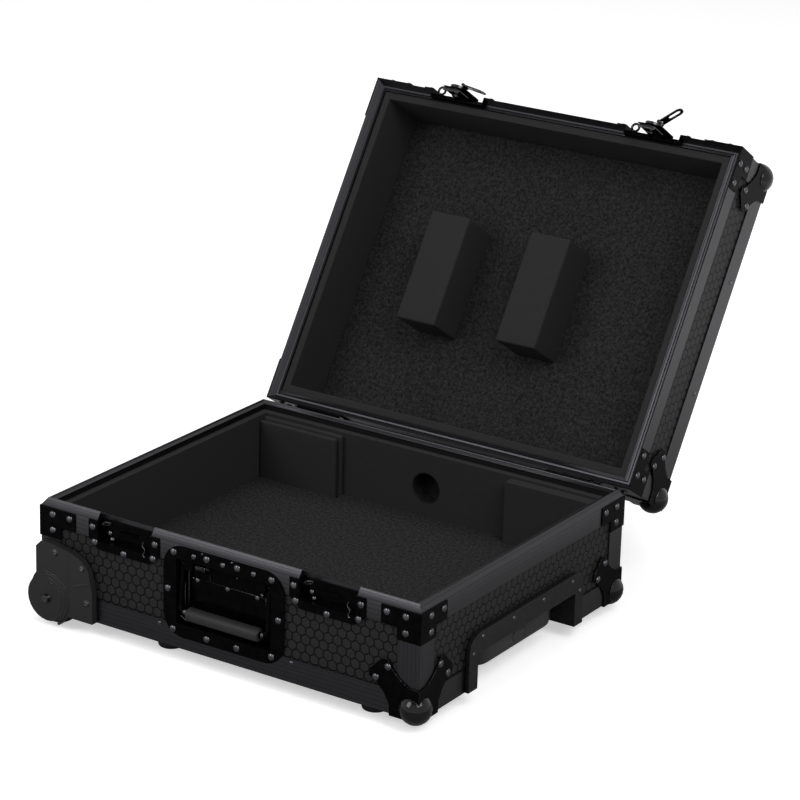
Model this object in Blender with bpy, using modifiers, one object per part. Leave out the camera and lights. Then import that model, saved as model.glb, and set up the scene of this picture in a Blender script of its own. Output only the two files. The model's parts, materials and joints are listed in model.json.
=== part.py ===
"""Turntable flight case on two wheels, with a pull-out trolley handle and a hinged lid.

Metres, +Z up. X runs left to right along the front, Y from front to back.
The origin is the middle of the carpeted floor board's top, where the turntable stands.
Everything is written as it lies with the lid shut, and the lid's own frame then swings it open.
"""

import math

import bmesh
import bpy
from mathutils import Matrix, Vector

for thing in list(bpy.data.objects):
    bpy.data.objects.remove(thing, do_unlink=True)

# Overall sizes
CASE_WIDTH = 0.546
CASE_DEPTH = 0.452
BASE_HEIGHT = 0.133
LID_HEIGHT = 0.102
LID_OPEN_ANGLE = math.radians(122.7)

# Gaps between pieces
TOUCH_GAP = 0.0003
SEAM_GAP = 0.0008
RUNNING_GAP = 0.0006

# Panels and aluminium edging
PANEL_THICKNESS = 0.009
EDGING_WALL = 0.0015
EDGING_LEG = 0.030
RIM_LEG = 0.024
RIM_INNER_LEG = 0.014
RIM_WEB = 0.002
TONGUE_RISE = 0.0084
TONGUE_INSET = 0.0060
TONGUE_RIDGE = 0.0016
TONGUE_FALL = 0.0034

# Sheet steel overlays
PLATE_THICKNESS = 0.0012
BRACE_ARM = 0.053
BRACE_ARM_HEIGHT = 0.0234
BRACE_LEG = 0.031
BRACE_LEG_HEIGHT = 0.0386

# Ball corners
BALL_RADIUS = 0.0195
BALL_INSET = 0.010
BALL_PLATE = 0.0016
BALL_EDGE_REACH = 0.0386
BALL_WING_REACH = 0.082
BALL_UNDER_REACH = 0.072
BALL_WING_WAIST = 0.015
BALL_WING_END = 0.012
BALL_WING_SHOULDER = 0.018
BALL_THROAT = (1.35, 0.68)
BALL_WAIST = (0.62, 0.82)
BALL_SHOULDER_AT = 0.93

# Butterfly latches
LATCH_FROM_SIDE = 0.1265
LATCH_PLATE_WIDTH = 0.1056
LATCH_PLATE_HEIGHT = 0.0367
LATCH_CHAMFER_WIDTH = 0.0155
LATCH_CHAMFER_HEIGHT = 0.0125
LATCH_POCKET_WIDTH = 0.078
LATCH_POCKET_HEIGHT = 0.026
LATCH_POCKET_DEPTH = 0.0092
LATCH_EYE_OFFSET = 0.026
LATCH_EYE_RADIUS = 0.0056
LATCH_EYE_WIRE = 0.0011
LATCH_EYE_RISE = 0.0015
ROTOR_RADIUS = 0.011
ROTOR_THICKNESS = 0.003
ROTOR_SPINDLE = 0.003
ROTOR_DROP = 0.003
ROTOR_CAM_RADIUS = 0.004
CARRIER_WIDTH = 0.034
CARRIER_OVERHANG = 0.013
CARRIER_PROUD = 0.003
CLAW_WIDTH = 0.024
CLAW_THICKNESS = 0.0016
CLAW_REACH = 0.020
CLAW_FOOT = 0.0022
CLAW_RISE = 0.006
CLAW_DRAW_IN = 0.0025
WING_LENGTH = 0.033
WING_WIDTH = 0.015
WING_THICKNESS = 0.0016
WING_FINGER_START = 0.0125
WING_PIN_OFFSET = 0.011
WING_PIN_RADIUS = 0.0011
WING_LIFT = {"left": math.radians(-8.0), "right": math.radians(43.0)}

# Front carrying handle
DISH_WIDTH = 0.1744
DISH_HEIGHT = 0.116
DISH_TOP = 0.0015
DISH_CORNER = 0.028
RECESS_WIDTH = 0.137
RECESS_HEIGHT = 0.082
RECESS_DEPTH = 0.013
BAIL_WIRE = 0.0034
BAIL_SPAN = 0.126
BAIL_DROP = 0.060
BAIL_BEND = 0.010
BAIL_AXIS_BELOW_RIM = 0.0255
BAIL_AXIS_INSET = 0.0062
BAIL_LEAN = 0.0055
BAIL_GRIP_RADIUS = 0.0085
BAIL_GRIP_LENGTH = 0.104
BAIL_CLIP_WIDTH = 0.012
BAIL_CLIP_WALL = 0.0012
BAIL_CLIP_REACH = BAIL_SPAN / 2 - BAIL_WIRE - 2 * RUNNING_GAP
SPRING_TURNS = 7
SPRING_WIRE = 0.0007
SPRING_PITCH = 0.0022
SPRING_RADIUS = 0.0048
SPRING_LEG = 0.012
SPRING_SIDE_GAP = 0.0024

# Hinges
HINGE_FROM_SIDE = 0.085
HINGE_WIDTH = 0.062
HINGE_LEAF_HEIGHT = 0.034
HINGE_LEAF_THICKNESS = 0.0024
HINGE_AXIS_OUT = 0.0073
HINGE_PIN_RADIUS = 0.0024
HINGE_KNUCKLE_RADIUS = 0.0046
HINGE_KNUCKLES = 5

# Wheels in their moulded corners
WHEEL_RADIUS = 0.037
WHEEL_WIDTH = 0.020
WHEEL_FROM_SIDE = 0.0148
WHEEL_AXLE_HEIGHT = 0.0175
WHEEL_HUB_RADIUS = 0.024
WHEEL_BOSS_RADIUS = 0.0114
WHEEL_DISH_DEPTH = 0.003
WHEEL_FLANK = [(0.0111, 0.0008), (0.0019, 0.002), (0.0004, 0.005)]
AXLE_RADIUS = 0.005
AXLE_HEAD_RADIUS = 0.0062
AXLE_HEAD_HEIGHT = 0.005
AXLE_HEAD_TIP_RADIUS = 0.0043
HOUSING_PROUD = 0.009
HOUSING_WIDTH = 0.0842
HOUSING_HEIGHT = 0.091
HOUSING_SIDE_PROUD = 0.0018
HOUSING_WALL = 0.002
HOUSING_MOUTH = 0.030
HOUSING_SHOULDER = 0.90
HOUSING_CROWN = [
    (1.0, 0.46), (0.925, 0.74), (0.81, 0.862), (0.63, 0.933), (0.4, 0.97), (0.19, 1.0), (0.07, 0.985)]
WELL_MARGIN = 0.0025

# Trolley handle
TROLLEY_PLATE_FROM_FRONT = 0.0975
TROLLEY_PLATE_TOP = 0.063
TROLLEY_PLATE_PROUD = 0.0055
TROLLEY_PLATE_CORNER = 0.022
TROLLEY_LEG = 0.0195
TROLLEY_MOUTH_TOP = 0.0892
TROLLEY_RECESS_DEPTH = 0.052
TROLLEY_LINER = 0.0012
TROLLEY_TUBE_SPREAD = 0.136
TROLLEY_TUBE_WIDTH = 0.021
TROLLEY_TUBE_HEIGHT = 0.011
TROLLEY_TUBE_LENGTH = 0.400
TROLLEY_TUBE_CENTRE = 0.0265
TROLLEY_SLEEVE_WALL = 0.0015
TROLLEY_SLEEVE_LENGTH = 0.395
TROLLEY_STRAP = 0.009
TROLLEY_GRIP_LENGTH = 0.172
TROLLEY_GRIP_HEIGHT = 0.033
TROLLEY_GRIP_DEPTH = 0.030
TROLLEY_GRIP_INSET = 0.007
TROLLEY_GRIP_ROUND = 0.021
TROLLEY_GRIP_EDGE = 0.0086
TROLLEY_TUBE_SOCKET = 0.012
TROLLEY_TUBE_EDGE = 0.002
TROLLEY_MOUTH_CORNER = 0.004
TROLLEY_BUTTON_LENGTH = 0.026
TROLLEY_BUTTON_HEIGHT = 0.011
TROLLEY_BUTTON_DEPTH = 0.010
TROLLEY_BUTTON_TRAVEL = 0.004

# Rubber feet
FOOT_HEIGHT = 0.020
FOOT_TOP_RADIUS = 0.0185
FOOT_TIP_RADIUS = 0.0155
FOOT_INSET = 0.039
FOOT_LEFT = 0.167
FOOT_RIGHT = 0.084
SIDE_FOOT_FRONT = 0.103
SIDE_FOOT_BACK = 0.078

# Inside the case
LINING_THICKNESS = 0.010
LINING_BELOW_RIM = 0.002
FLOOR_BELOW_RIM = 0.086
FLOOR_BOARD = 0.006
CARPET_THICKNESS = 0.004
PAD_WIDTH = 0.124
PAD_THICKNESS = 0.016
PAD_BELOW_RIM = 0.005
BLOCK_WIDTH = 0.0595
BLOCK_LENGTH = 0.150
BLOCK_HEIGHT = 0.065
BLOCK_LEFT = 0.1635
BLOCK_PITCH = 0.152
BLOCK_FROM_FRONT = 0.2305
PORT_RADIUS = 0.0190
PORT_WALL = 0.0015
PORT_BELOW_RIM = 0.048
PORT_FLANGE = 0.003
PORT_FLANGE_THICKNESS = 0.0015

# Worked out from the sizes above
HALF_X = CASE_WIDTH / 2
HALF_Y = CASE_DEPTH / 2
BASE_Z = FLOOR_BELOW_RIM - BASE_HEIGHT
GROUND_Z = BASE_Z - FOOT_HEIGHT
RIM_Z = BASE_Z + BASE_HEIGHT
LID_TOP_Z = RIM_Z + LID_HEIGHT
PANEL_INSET = EDGING_WALL + TOUCH_GAP
RIM_WIDTH = PANEL_INSET + PANEL_THICKNESS + TOUCH_GAP + EDGING_WALL
LID_WEB_Z = TONGUE_RISE + SEAM_GAP + RIM_WEB
LINING_INSET = RIM_WIDTH + TOUCH_GAP
INNER_INSET = LINING_INSET + LINING_THICKNESS
TROLLEY_Z = BASE_Z + TROLLEY_TUBE_CENTRE
TROLLEY_MOUTH_HALF = HALF_Y - TROLLEY_PLATE_FROM_FRONT - TROLLEY_LEG
TROLLEY_MOUTH_Z = RIM_Z - TROLLEY_MOUTH_TOP
WELL_REACH = WHEEL_FROM_SIDE + WHEEL_RADIUS + WELL_MARGIN + HOUSING_WALL
WELL_TOP = WHEEL_AXLE_HEIGHT + WHEEL_RADIUS + WELL_MARGIN + HOUSING_WALL
WELL_DEPTH = RUNNING_GAP + WHEEL_WIDTH + WELL_MARGIN + HOUSING_WALL
HINGE_Y = HALF_Y + HINGE_AXIS_OUT
ROUND_STEPS = 20

model = bpy.data.collections.new("turntable_flight_case")
bpy.context.scene.collection.children.link(model)


def colour(hex_code):
    """Linear colour of an sRGB hex value."""
    parts = [int(hex_code[i:i + 2], 16) / 255 for i in (0, 2, 4)]
    return [c / 12.92 if c <= 0.04045 else ((c + 0.055) / 1.055) ** 2.4 for c in parts] + [1.0]


def finish(name, hex_code, roughness, metallic):
    """A plain Principled material."""
    made = bpy.data.materials.new(name)
    made.use_nodes = True
    shader = made.node_tree.nodes["Principled BSDF"]
    shader.inputs["Base Color"].default_value = colour(hex_code)
    shader.inputs["Roughness"].default_value = roughness
    shader.inputs["Metallic"].default_value = metallic
    return made


LAMINATE = finish("black_laminate_on_plywood", "2b2b2b", 0.45, 0.0)
ALUMINIUM = finish("black_anodised_aluminium", "404041", 0.35, 0.9)
BLACK_STEEL = finish("black_plated_steel", "17171a", 0.15, 0.9)
RUBBER = finish("black_rubber", "1d1d1e", 0.7, 0.0)
MOULDED = finish("dark_grey_moulded_plastic", "37383a", 0.5, 0.0)
FOAM = finish("black_closed_cell_foam", "232324", 0.9, 0.0)
CARPET = finish("charcoal_needle_felt", "2a2a2a", 1.0, 0.0)
PLASTIC = finish("black_moulded_plastic", "202022", 0.4, 0.0)


class Frame:
    """A joint's empty. Its children are written where they lie with the lid shut."""

    def __init__(self, name, at, parent=None, turn=None):
        self.at = Vector(at)
        self.empty = bpy.data.objects.new(name, None)
        model.objects.link(self.empty)
        self.empty.empty_display_size = 0.02
        if parent:
            self.empty.parent = parent.empty
        self.empty.location = self.at - (parent.at if parent else Vector())
        if turn:
            self.empty.rotation_euler = turn


def from_bmesh(name, bm):
    """A mesh object from a bmesh."""
    mesh = bpy.data.meshes.new(name)
    bm.to_mesh(mesh)
    bm.free()
    made = bpy.data.objects.new(name, mesh)
    bpy.context.scene.collection.objects.link(made)
    return made


def block(low, high, name="block"):
    """A cuboid between two corners."""
    low = Vector(low)
    high = Vector(high)
    bm = bmesh.new()
    bmesh.ops.create_cube(bm, size=1.0)
    bmesh.ops.scale(bm, vec=high - low, verts=bm.verts)
    bmesh.ops.translate(bm, vec=(low + high) / 2, verts=bm.verts)
    return from_bmesh(name, bm)


def bar(centre, half_size, name="bar"):
    """A cuboid about a centre."""
    centre = Vector(centre)
    half_size = Vector(half_size)
    return block(centre - half_size, centre + half_size, name)


def rod(start, end, radius, tip_radius=None, steps=ROUND_STEPS, name="rod"):
    """A cylinder or cone between two points."""
    start = Vector(start)
    along = Vector(end) - start
    bm = bmesh.new()
    bmesh.ops.create_cone(
        bm, cap_ends=True, segments=steps, radius1=radius,
        radius2=radius if tip_radius is None else tip_radius, depth=along.length)
    bmesh.ops.translate(bm, vec=(0, 0, along.length / 2), verts=bm.verts)
    turn = along.to_track_quat("Z", "Y").to_matrix().to_4x4()
    bmesh.ops.transform(bm, matrix=Matrix.Translation(start) @ turn, verts=bm.verts)
    return from_bmesh(name, bm)


def as_mesh(thing):
    """A curve object made a welded mesh, with its place applied."""
    view = bpy.context.evaluated_depsgraph_get()
    mesh = bpy.data.meshes.new_from_object(thing.evaluated_get(view))
    bm = bmesh.new()
    bm.from_mesh(mesh)
    bmesh.ops.remove_doubles(bm, verts=bm.verts, dist=0.00001)
    bmesh.ops.transform(bm, matrix=thing.matrix_world, verts=bm.verts)
    bm.to_mesh(mesh)
    bm.free()
    made = bpy.data.objects.new(thing.name, mesh)
    bpy.context.scene.collection.objects.link(made)
    bpy.data.objects.remove(thing, do_unlink=True)
    return made


FRONT_VIEW = Matrix(((1, 0, 0), (0, 0, 1), (0, 1, 0))).to_4x4()
SIDE_VIEW = Matrix(((0, 0, 1), (1, 0, 0), (0, 1, 0))).to_4x4()


def sheet(outline, low, high, view=FRONT_VIEW, holes=(), name="sheet"):
    """A flat outline made solid from depth low to depth high across the view."""
    curve = bpy.data.curves.new(name, "CURVE")
    curve.dimensions = "2D"
    curve.fill_mode = "BOTH"
    curve.extrude = (high - low) / 2
    for ring in (outline, *holes):
        spline = curve.splines.new("POLY")
        spline.points.add(len(ring) - 1)
        for point, (u, v) in zip(spline.points, ring):
            point.co = (u, v, 0, 1)
        spline.use_cyclic_u = True
    thing = bpy.data.objects.new(name, curve)
    bpy.context.scene.collection.objects.link(thing)
    bpy.context.view_layer.update()
    made = as_mesh(thing)
    bm = bmesh.new()
    bm.from_mesh(made.data)
    bmesh.ops.translate(bm, vec=(0, 0, (low + high) / 2), verts=bm.verts)
    bmesh.ops.transform(bm, matrix=view, verts=bm.verts)
    bmesh.ops.recalc_face_normals(bm, faces=bm.faces)
    bm.to_mesh(made.data)
    bm.free()
    return made


def rectangle(x0, z0, x1, z1):
    """The corners of a flat rectangle."""
    return [(x0, z0), (x1, z0), (x1, z1), (x0, z1)]


def rounded(corners, radius, steps=5):
    """A flat outline whose corners are arcs. The radius may differ from corner to corner."""
    points = []
    count = len(corners)
    for i, corner in enumerate(corners):
        here = Vector(corner)
        before = (Vector(corners[i - 1]) - here).normalized()
        after = (Vector(corners[(i + 1) % count]) - here).normalized()
        size = radius[i] if isinstance(radius, (list, tuple)) else radius
        if size == 0:
            points.append(tuple(here))
            continue
        half = before.angle(after) / 2
        centre = here + (before + after).normalized() * size / math.sin(half)
        first = here + before * size / math.tan(half) - centre
        last = here + after * size / math.tan(half) - centre
        for k in range(steps + 1):
            arm = first.lerp(last, k / steps).normalized() * size
            points.append(tuple(centre + arm))
    return points


def arc(centre, radius, start, end, steps):
    """Points on an arc, angles in degrees."""
    angles = [math.radians(start + (end - start) * k / steps) for k in range(steps + 1)]
    return [(centre[0] + radius * math.cos(a), centre[1] + radius * math.sin(a)) for a in angles]


def combine(thing, others, operation):
    """Joins or cuts a solid with others and keeps the result as its mesh."""
    for other in others:
        change = thing.modifiers.new("boolean", "BOOLEAN")
        change.operation = operation
        change.object = other
        change.solver = "EXACT"
        bpy.context.view_layer.update()
        view = bpy.context.evaluated_depsgraph_get()
        mesh = bpy.data.meshes.new_from_object(thing.evaluated_get(view))
        thing.modifiers.clear()
        thing.data = mesh
        bpy.data.objects.remove(other, do_unlink=True)
    weld(thing)
    return thing


def weld(thing):
    """Merges the coincident points that a Boolean leaves."""
    bm = bmesh.new()
    bm.from_mesh(thing.data)
    bmesh.ops.remove_doubles(bm, verts=bm.verts, dist=0.000002)
    bmesh.ops.dissolve_limit(bm, angle_limit=math.radians(0.05), verts=bm.verts, edges=bm.edges)
    bm.to_mesh(thing.data)
    bm.free()


def fuse(thing, *others):
    """Joins solids that touch."""
    return combine(thing, others, "UNION")


def cut(thing, *others):
    """Takes solids out of another."""
    return combine(thing, others, "DIFFERENCE")


def mirrored(thing, x=False, y=False, z_about=None):
    """Mirrors a mesh across the middle of the case, or about a height."""
    bm = bmesh.new()
    bm.from_mesh(thing.data)
    if x:
        bmesh.ops.scale(bm, vec=(-1, 1, 1), verts=bm.verts)
    if y:
        bmesh.ops.scale(bm, vec=(1, -1, 1), verts=bm.verts)
    if z_about is not None:
        bmesh.ops.scale(bm, vec=(1, 1, -1), verts=bm.verts)
        bmesh.ops.translate(bm, vec=(0, 0, 2 * z_about), verts=bm.verts)
    bmesh.ops.recalc_face_normals(bm, faces=bm.faces)
    bm.to_mesh(thing.data)
    bm.free()
    return thing


def piece(name, thing, material, frame=None):
    """Names a finished solid and puts it in the model, in its material and on its frame."""
    thing.name = name
    thing.data.name = name
    for old in list(thing.users_collection):
        old.objects.unlink(thing)
    model.objects.link(thing)
    thing.data.materials.clear()
    thing.data.materials.append(material)
    if frame:
        thing.parent = frame.empty
        thing.location = -frame.at


def smooth(thing, degrees=35):
    """Rounds the shading of curved faces."""
    thing.data.shade_smooth()
    thing.data.set_sharp_from_angle(angle=math.radians(degrees))
    return thing


def mitred_frame(profile, name="frame"):
    """A closed profile of (inset, height) points run round the case with mitred corners."""
    bm = bmesh.new()
    rings = []
    for sx, sy in ((-1, -1), (1, -1), (1, 1), (-1, 1)):
        ring = [bm.verts.new((sx * (HALF_X - u), sy * (HALF_Y - u), z)) for u, z in profile]
        edges = [bm.edges.new((ring[i - 1], ring[i])) for i in range(len(ring))]
        rings.append(edges)
    for i in range(len(rings)):
        bmesh.ops.bridge_loops(bm, edges=rings[i - 1] + rings[i])
    bmesh.ops.recalc_face_normals(bm, faces=bm.faces)
    return from_bmesh(name, bm)


def tray(closed_z, open_z):
    """Five glued plywood panels: one flat side and four walls, open towards the rim."""
    inset = PANEL_INSET
    low = min(closed_z, open_z)
    high = max(closed_z, open_z)
    bm = bmesh.new()
    bmesh.ops.create_cube(bm, size=1.0)
    size = Vector((CASE_WIDTH - 2 * inset, CASE_DEPTH - 2 * inset, high - low))
    bmesh.ops.scale(bm, vec=size, verts=bm.verts)
    bmesh.ops.translate(bm, vec=(0, 0, (low + high) / 2), verts=bm.verts)
    toward = 1 if open_z > closed_z else -1
    bm.faces.ensure_lookup_table()
    mouth = [f for f in bm.faces if f.normal.z * toward > 0.5]
    bmesh.ops.delete(bm, geom=mouth, context="FACES")
    thing = from_bmesh("tray", bm)
    wall = thing.modifiers.new("walls", "SOLIDIFY")
    wall.thickness = PANEL_THICKNESS
    wall.offset = -1
    wall.use_even_offset = True
    return as_mesh(thing)


def corner_angle(low, high):
    """An upright aluminium angle at the front right corner."""
    leg = EDGING_LEG
    wall = EDGING_WALL
    outline = [(0, 0), (-leg, 0), (-leg, wall), (-wall, wall), (-wall, leg), (0, leg)]
    points = [(HALF_X + u, -HALF_Y + v) for u, v in outline]
    return sheet(points, low, high, view=Matrix.Identity(4))


def at_corners(maker, *sizes):
    """The same solid at the four corners."""
    return [mirrored(maker(*sizes), x=sx, y=sy) for sx in (False, True) for sy in (False, True)]


def latch_centres():
    """Where the two latches sit along the front."""
    return {"left": -HALF_X + LATCH_FROM_SIDE, "right": HALF_X - LATCH_FROM_SIDE}


def latch_notches():
    """Cutters for the two latch pockets. The rims' inner legs run on behind them."""
    reach = LATCH_POCKET_WIDTH / 2 + PLATE_THICKNESS + TOUCH_GAP
    tall = LATCH_POCKET_HEIGHT + PLATE_THICKNESS + TOUCH_GAP
    deep = PANEL_INSET + PANEL_THICKNESS + TOUCH_GAP / 2
    made = []
    for x in latch_centres().values():
        low = (x - reach, -HALF_Y - EDGING_WALL, RIM_Z - tall)
        high = (x + reach, -HALF_Y + deep, RIM_Z + tall)
        made.append(block(low, high))
    return made


def handle_hole():
    """Cutter for the front handle's recess, through the front wall and the lining's back."""
    wide = RECESS_WIDTH / 2 + PLATE_THICKNESS + TOUCH_GAP
    middle = RIM_Z - DISH_TOP - DISH_HEIGHT / 2
    tall = RECESS_HEIGHT / 2 + PLATE_THICKNESS + TOUCH_GAP
    deep = RECESS_DEPTH + PLATE_THICKNESS + TOUCH_GAP
    return block((-wide, -HALF_Y - EDGING_WALL, middle - tall), (wide, -HALF_Y + deep, middle + tall))


def wheel_hole():
    """Cutter that clears the left front lower corner for the wheel's well."""
    beyond = 2 * HOUSING_PROUD
    low = (-HALF_X - beyond, -HALF_Y - beyond, BASE_Z - beyond)
    high = (-HALF_X + WELL_REACH, -HALF_Y + WELL_DEPTH, BASE_Z + WELL_TOP)
    return block([v - TOUCH_GAP for v in low], [v + TOUCH_GAP for v in high])


def trolley_hole():
    """Cutter for the trolley grip's recess, open to the right and to the floor."""
    extra = TROLLEY_LINER + TOUCH_GAP
    half = TROLLEY_MOUTH_HALF + extra
    low = (HALF_X - TROLLEY_RECESS_DEPTH - extra, -half, BASE_Z - EDGING_LEG)
    high = (HALF_X + EDGING_LEG, half, TROLLEY_MOUTH_Z + extra)
    return block(low, high)


def port_hole(radius):
    """Cutter for the cable port through the back wall."""
    z = RIM_Z - PORT_BELOW_RIM
    return rod((0, HALF_Y - EDGING_LEG, z), (0, HALF_Y + EDGING_LEG, z), radius, steps=32)


lid = Frame("lid_hinge_axis", (0, HINGE_Y, RIM_Z), turn=(-LID_OPEN_ANGLE, 0, 0))


def make_base_tray():
    """The lower plywood box with its cut-outs."""
    thing = tray(BASE_Z + PANEL_INSET, RIM_Z - RIM_WEB - TOUCH_GAP)
    cut(thing, *latch_notches(), handle_hole(), trolley_hole(), wheel_hole(), mirrored(wheel_hole(), y=True))
    cut(thing, port_hole(PORT_RADIUS + PORT_WALL + TOUCH_GAP))
    piece("base_tray", thing, LAMINATE)


def make_lid_tray():
    """The upper plywood box."""
    thing = tray(LID_TOP_Z - PANEL_INSET, RIM_Z + LID_WEB_Z + TOUCH_GAP)
    cut(thing, *latch_notches())
    piece("lid_tray", thing, LAMINATE, lid)


def edge_profile(z, toward):
    """The L of the angle that runs round a flat side. toward is 1 where the walls rise from it."""
    leg = EDGING_LEG * toward
    wall = EDGING_WALL * toward
    return [(0, z), (0, z + leg), (EDGING_WALL, z + leg), (EDGING_WALL, z + wall),
            (EDGING_LEG, z + wall), (EDGING_LEG, z)]


def make_base_edging():
    """The lower edging: a rim with a tongue, four uprights and a bottom frame, riveted together."""
    ridge_end = TONGUE_INSET + TONGUE_RIDGE
    step = TONGUE_RIDGE / 2
    rim = [
        (0, -RIM_LEG), (0, 0), (TONGUE_INSET, TONGUE_RISE), (ridge_end, TONGUE_RISE),
        (ridge_end + step, TONGUE_RISE - TONGUE_FALL / 2), (RIM_WIDTH, TONGUE_RISE - TONGUE_FALL),
        (RIM_WIDTH, -RIM_INNER_LEG), (RIM_WIDTH - EDGING_WALL, -RIM_INNER_LEG),
        (RIM_WIDTH - EDGING_WALL, -RIM_WEB), (EDGING_WALL, -RIM_WEB), (EDGING_WALL, -RIM_LEG)]
    thing = mitred_frame([(u, RIM_Z + z) for u, z in rim])
    fuse(thing, mitred_frame(edge_profile(BASE_Z, 1)))
    fuse(thing, *at_corners(corner_angle, BASE_Z + EDGING_LEG / 2, RIM_Z - RIM_LEG / 2))
    cut(thing, *latch_notches(), handle_hole(), trolley_hole())
    cut(thing, wheel_hole(), mirrored(wheel_hole(), y=True))
    piece("base_edging", thing, ALUMINIUM)


def make_lid_edging():
    """The upper edging: a grooved rim, four uprights and a top frame, riveted together."""
    ridge_end = TONGUE_INSET + TONGUE_RIDGE
    step = TONGUE_RIDGE / 2
    seam = SEAM_GAP
    rim = [
        (0, RIM_LEG), (0, seam), (TONGUE_INSET - seam / 4, TONGUE_RISE + seam),
        (ridge_end + seam / 2, TONGUE_RISE + seam),
        (ridge_end + step + seam / 2, TONGUE_RISE - TONGUE_FALL / 2 + seam),
        (RIM_WIDTH, TONGUE_RISE - TONGUE_FALL + seam),
        (RIM_WIDTH, LID_WEB_Z + RIM_INNER_LEG), (RIM_WIDTH - EDGING_WALL, LID_WEB_Z + RIM_INNER_LEG),
        (RIM_WIDTH - EDGING_WALL, LID_WEB_Z), (EDGING_WALL, LID_WEB_Z), (EDGING_WALL, RIM_LEG)]
    thing = mitred_frame([(u, RIM_Z + z) for u, z in rim])
    fuse(thing, mitred_frame(edge_profile(LID_TOP_Z, -1)))
    fuse(thing, *at_corners(corner_angle, RIM_Z + RIM_LEG / 2, LID_TOP_Z - EDGING_LEG / 2))
    cut(thing, *latch_notches())
    piece("lid_edging", thing, ALUMINIUM, lid)


def brace():
    """The base's front right corner brace: an L on each face, folded round the corner."""
    top = RIM_Z - TOUCH_GAP
    out = HALF_X + TOUCH_GAP
    front = -HALF_Y - TOUCH_GAP
    wall = PLATE_THICKNESS
    shape = [(0, 0), (-BRACE_ARM, 0), (-BRACE_ARM, -BRACE_ARM_HEIGHT), (-BRACE_LEG, -BRACE_ARM_HEIGHT),
             (-BRACE_LEG, -BRACE_LEG_HEIGHT), (0, -BRACE_LEG_HEIGHT)]
    face = [(HALF_X + u if u else out + wall, top + v) for u, v in shape]
    side = [(-HALF_Y - u if u else front - wall, top + v) for u, v in shape]
    thing = sheet(face, front - wall, front)
    return fuse(thing, sheet(side, out, out + wall, view=SIDE_VIEW))


def make_braces():
    """Eight corner braces, four at each rim."""
    for x_name, sx in (("right", False), ("left", True)):
        for y_name, sy in (("front", False), ("back", True)):
            lower = mirrored(brace(), x=sx, y=sy)
            piece(f"base_corner_brace_{y_name}_{x_name}", lower, BLACK_STEEL)
            upper = mirrored(brace(), x=sx, y=sy, z_about=RIM_Z)
            piece(f"lid_corner_brace_{y_name}_{x_name}", upper, BLACK_STEEL, lid)


def ball_wing(reach):
    """Outline of a ball corner's wing from the case's corner, reaching inwards along the diagonal."""
    edge = BALL_EDGE_REACH / math.sqrt(2)
    waist = BALL_WING_WAIST
    skin = TOUCH_GAP + BALL_PLATE
    throat = (edge * BALL_THROAT[0], edge * BALL_THROAT[1])
    half = [(edge, edge), throat, (reach * BALL_WAIST[0], waist), (reach * BALL_WAIST[1], waist),
            (reach * BALL_SHOULDER_AT, BALL_WING_SHOULDER), (reach, BALL_WING_END)]
    along = half + [(s, -w) for s, w in reversed(half)]
    shape = [((s + w) / math.sqrt(2), (s - w) / math.sqrt(2)) for s, w in reversed(along)]
    return [(-skin, -skin), (-skin, shape[0][1])] + shape + [(shape[-1][0], -skin)]


def ball_corner(side_reach=BALL_WING_REACH):
    """A steel ball corner for the front right corner of the flat side at BASE_Z."""
    skin = TOUCH_GAP + BALL_PLATE
    shape = ball_wing(BALL_WING_REACH)
    corner = Vector((HALF_X, -HALF_Y, BASE_Z))
    front = sheet([(corner.x - u, corner.z + v) for u, v in shape],
                  corner.y - skin, corner.y - TOUCH_GAP)
    side = sheet([(corner.y + u, corner.z + v) for u, v in ball_wing(side_reach)],
                 corner.x + TOUCH_GAP, corner.x + skin, view=SIDE_VIEW)
    under = sheet([(corner.x - u, corner.y + v) for u, v in ball_wing(BALL_UNDER_REACH)],
                  corner.z - skin, corner.z - TOUCH_GAP, view=Matrix.Identity(4))
    bm = bmesh.new()
    bmesh.ops.create_uvsphere(bm, u_segments=24, v_segments=12, radius=BALL_RADIUS)
    inset = Vector((-BALL_INSET, BALL_INSET, BALL_INSET))
    bmesh.ops.translate(bm, vec=corner + inset, verts=bm.verts)
    ball = from_bmesh("ball", bm)
    inside = block(corner + Vector((-3 * BALL_RADIUS, -TOUCH_GAP, -TOUCH_GAP)),
                   corner + Vector((TOUCH_GAP, 3 * BALL_RADIUS, 3 * BALL_RADIUS)))
    fuse(ball, front, side, under)
    return smooth(cut(ball, inside), 25)


def make_ball_corners():
    """Two ball corners under the base's right end and four on top of the lid."""
    for y_name, sy in (("front", False), ("back", True)):
        piece(f"base_ball_corner_{y_name}_right", mirrored(ball_corner(), y=sy), BLACK_STEEL)
        for x_name, sx, reach in (("right", False, BALL_WING_REACH), ("left", True, BALL_UNDER_REACH)):
            thing = mirrored(ball_corner(reach), x=sx, y=sy, z_about=(BASE_Z + LID_TOP_Z) / 2)
            piece(f"lid_ball_corner_{y_name}_{x_name}", thing, BLACK_STEEL, lid)


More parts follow.
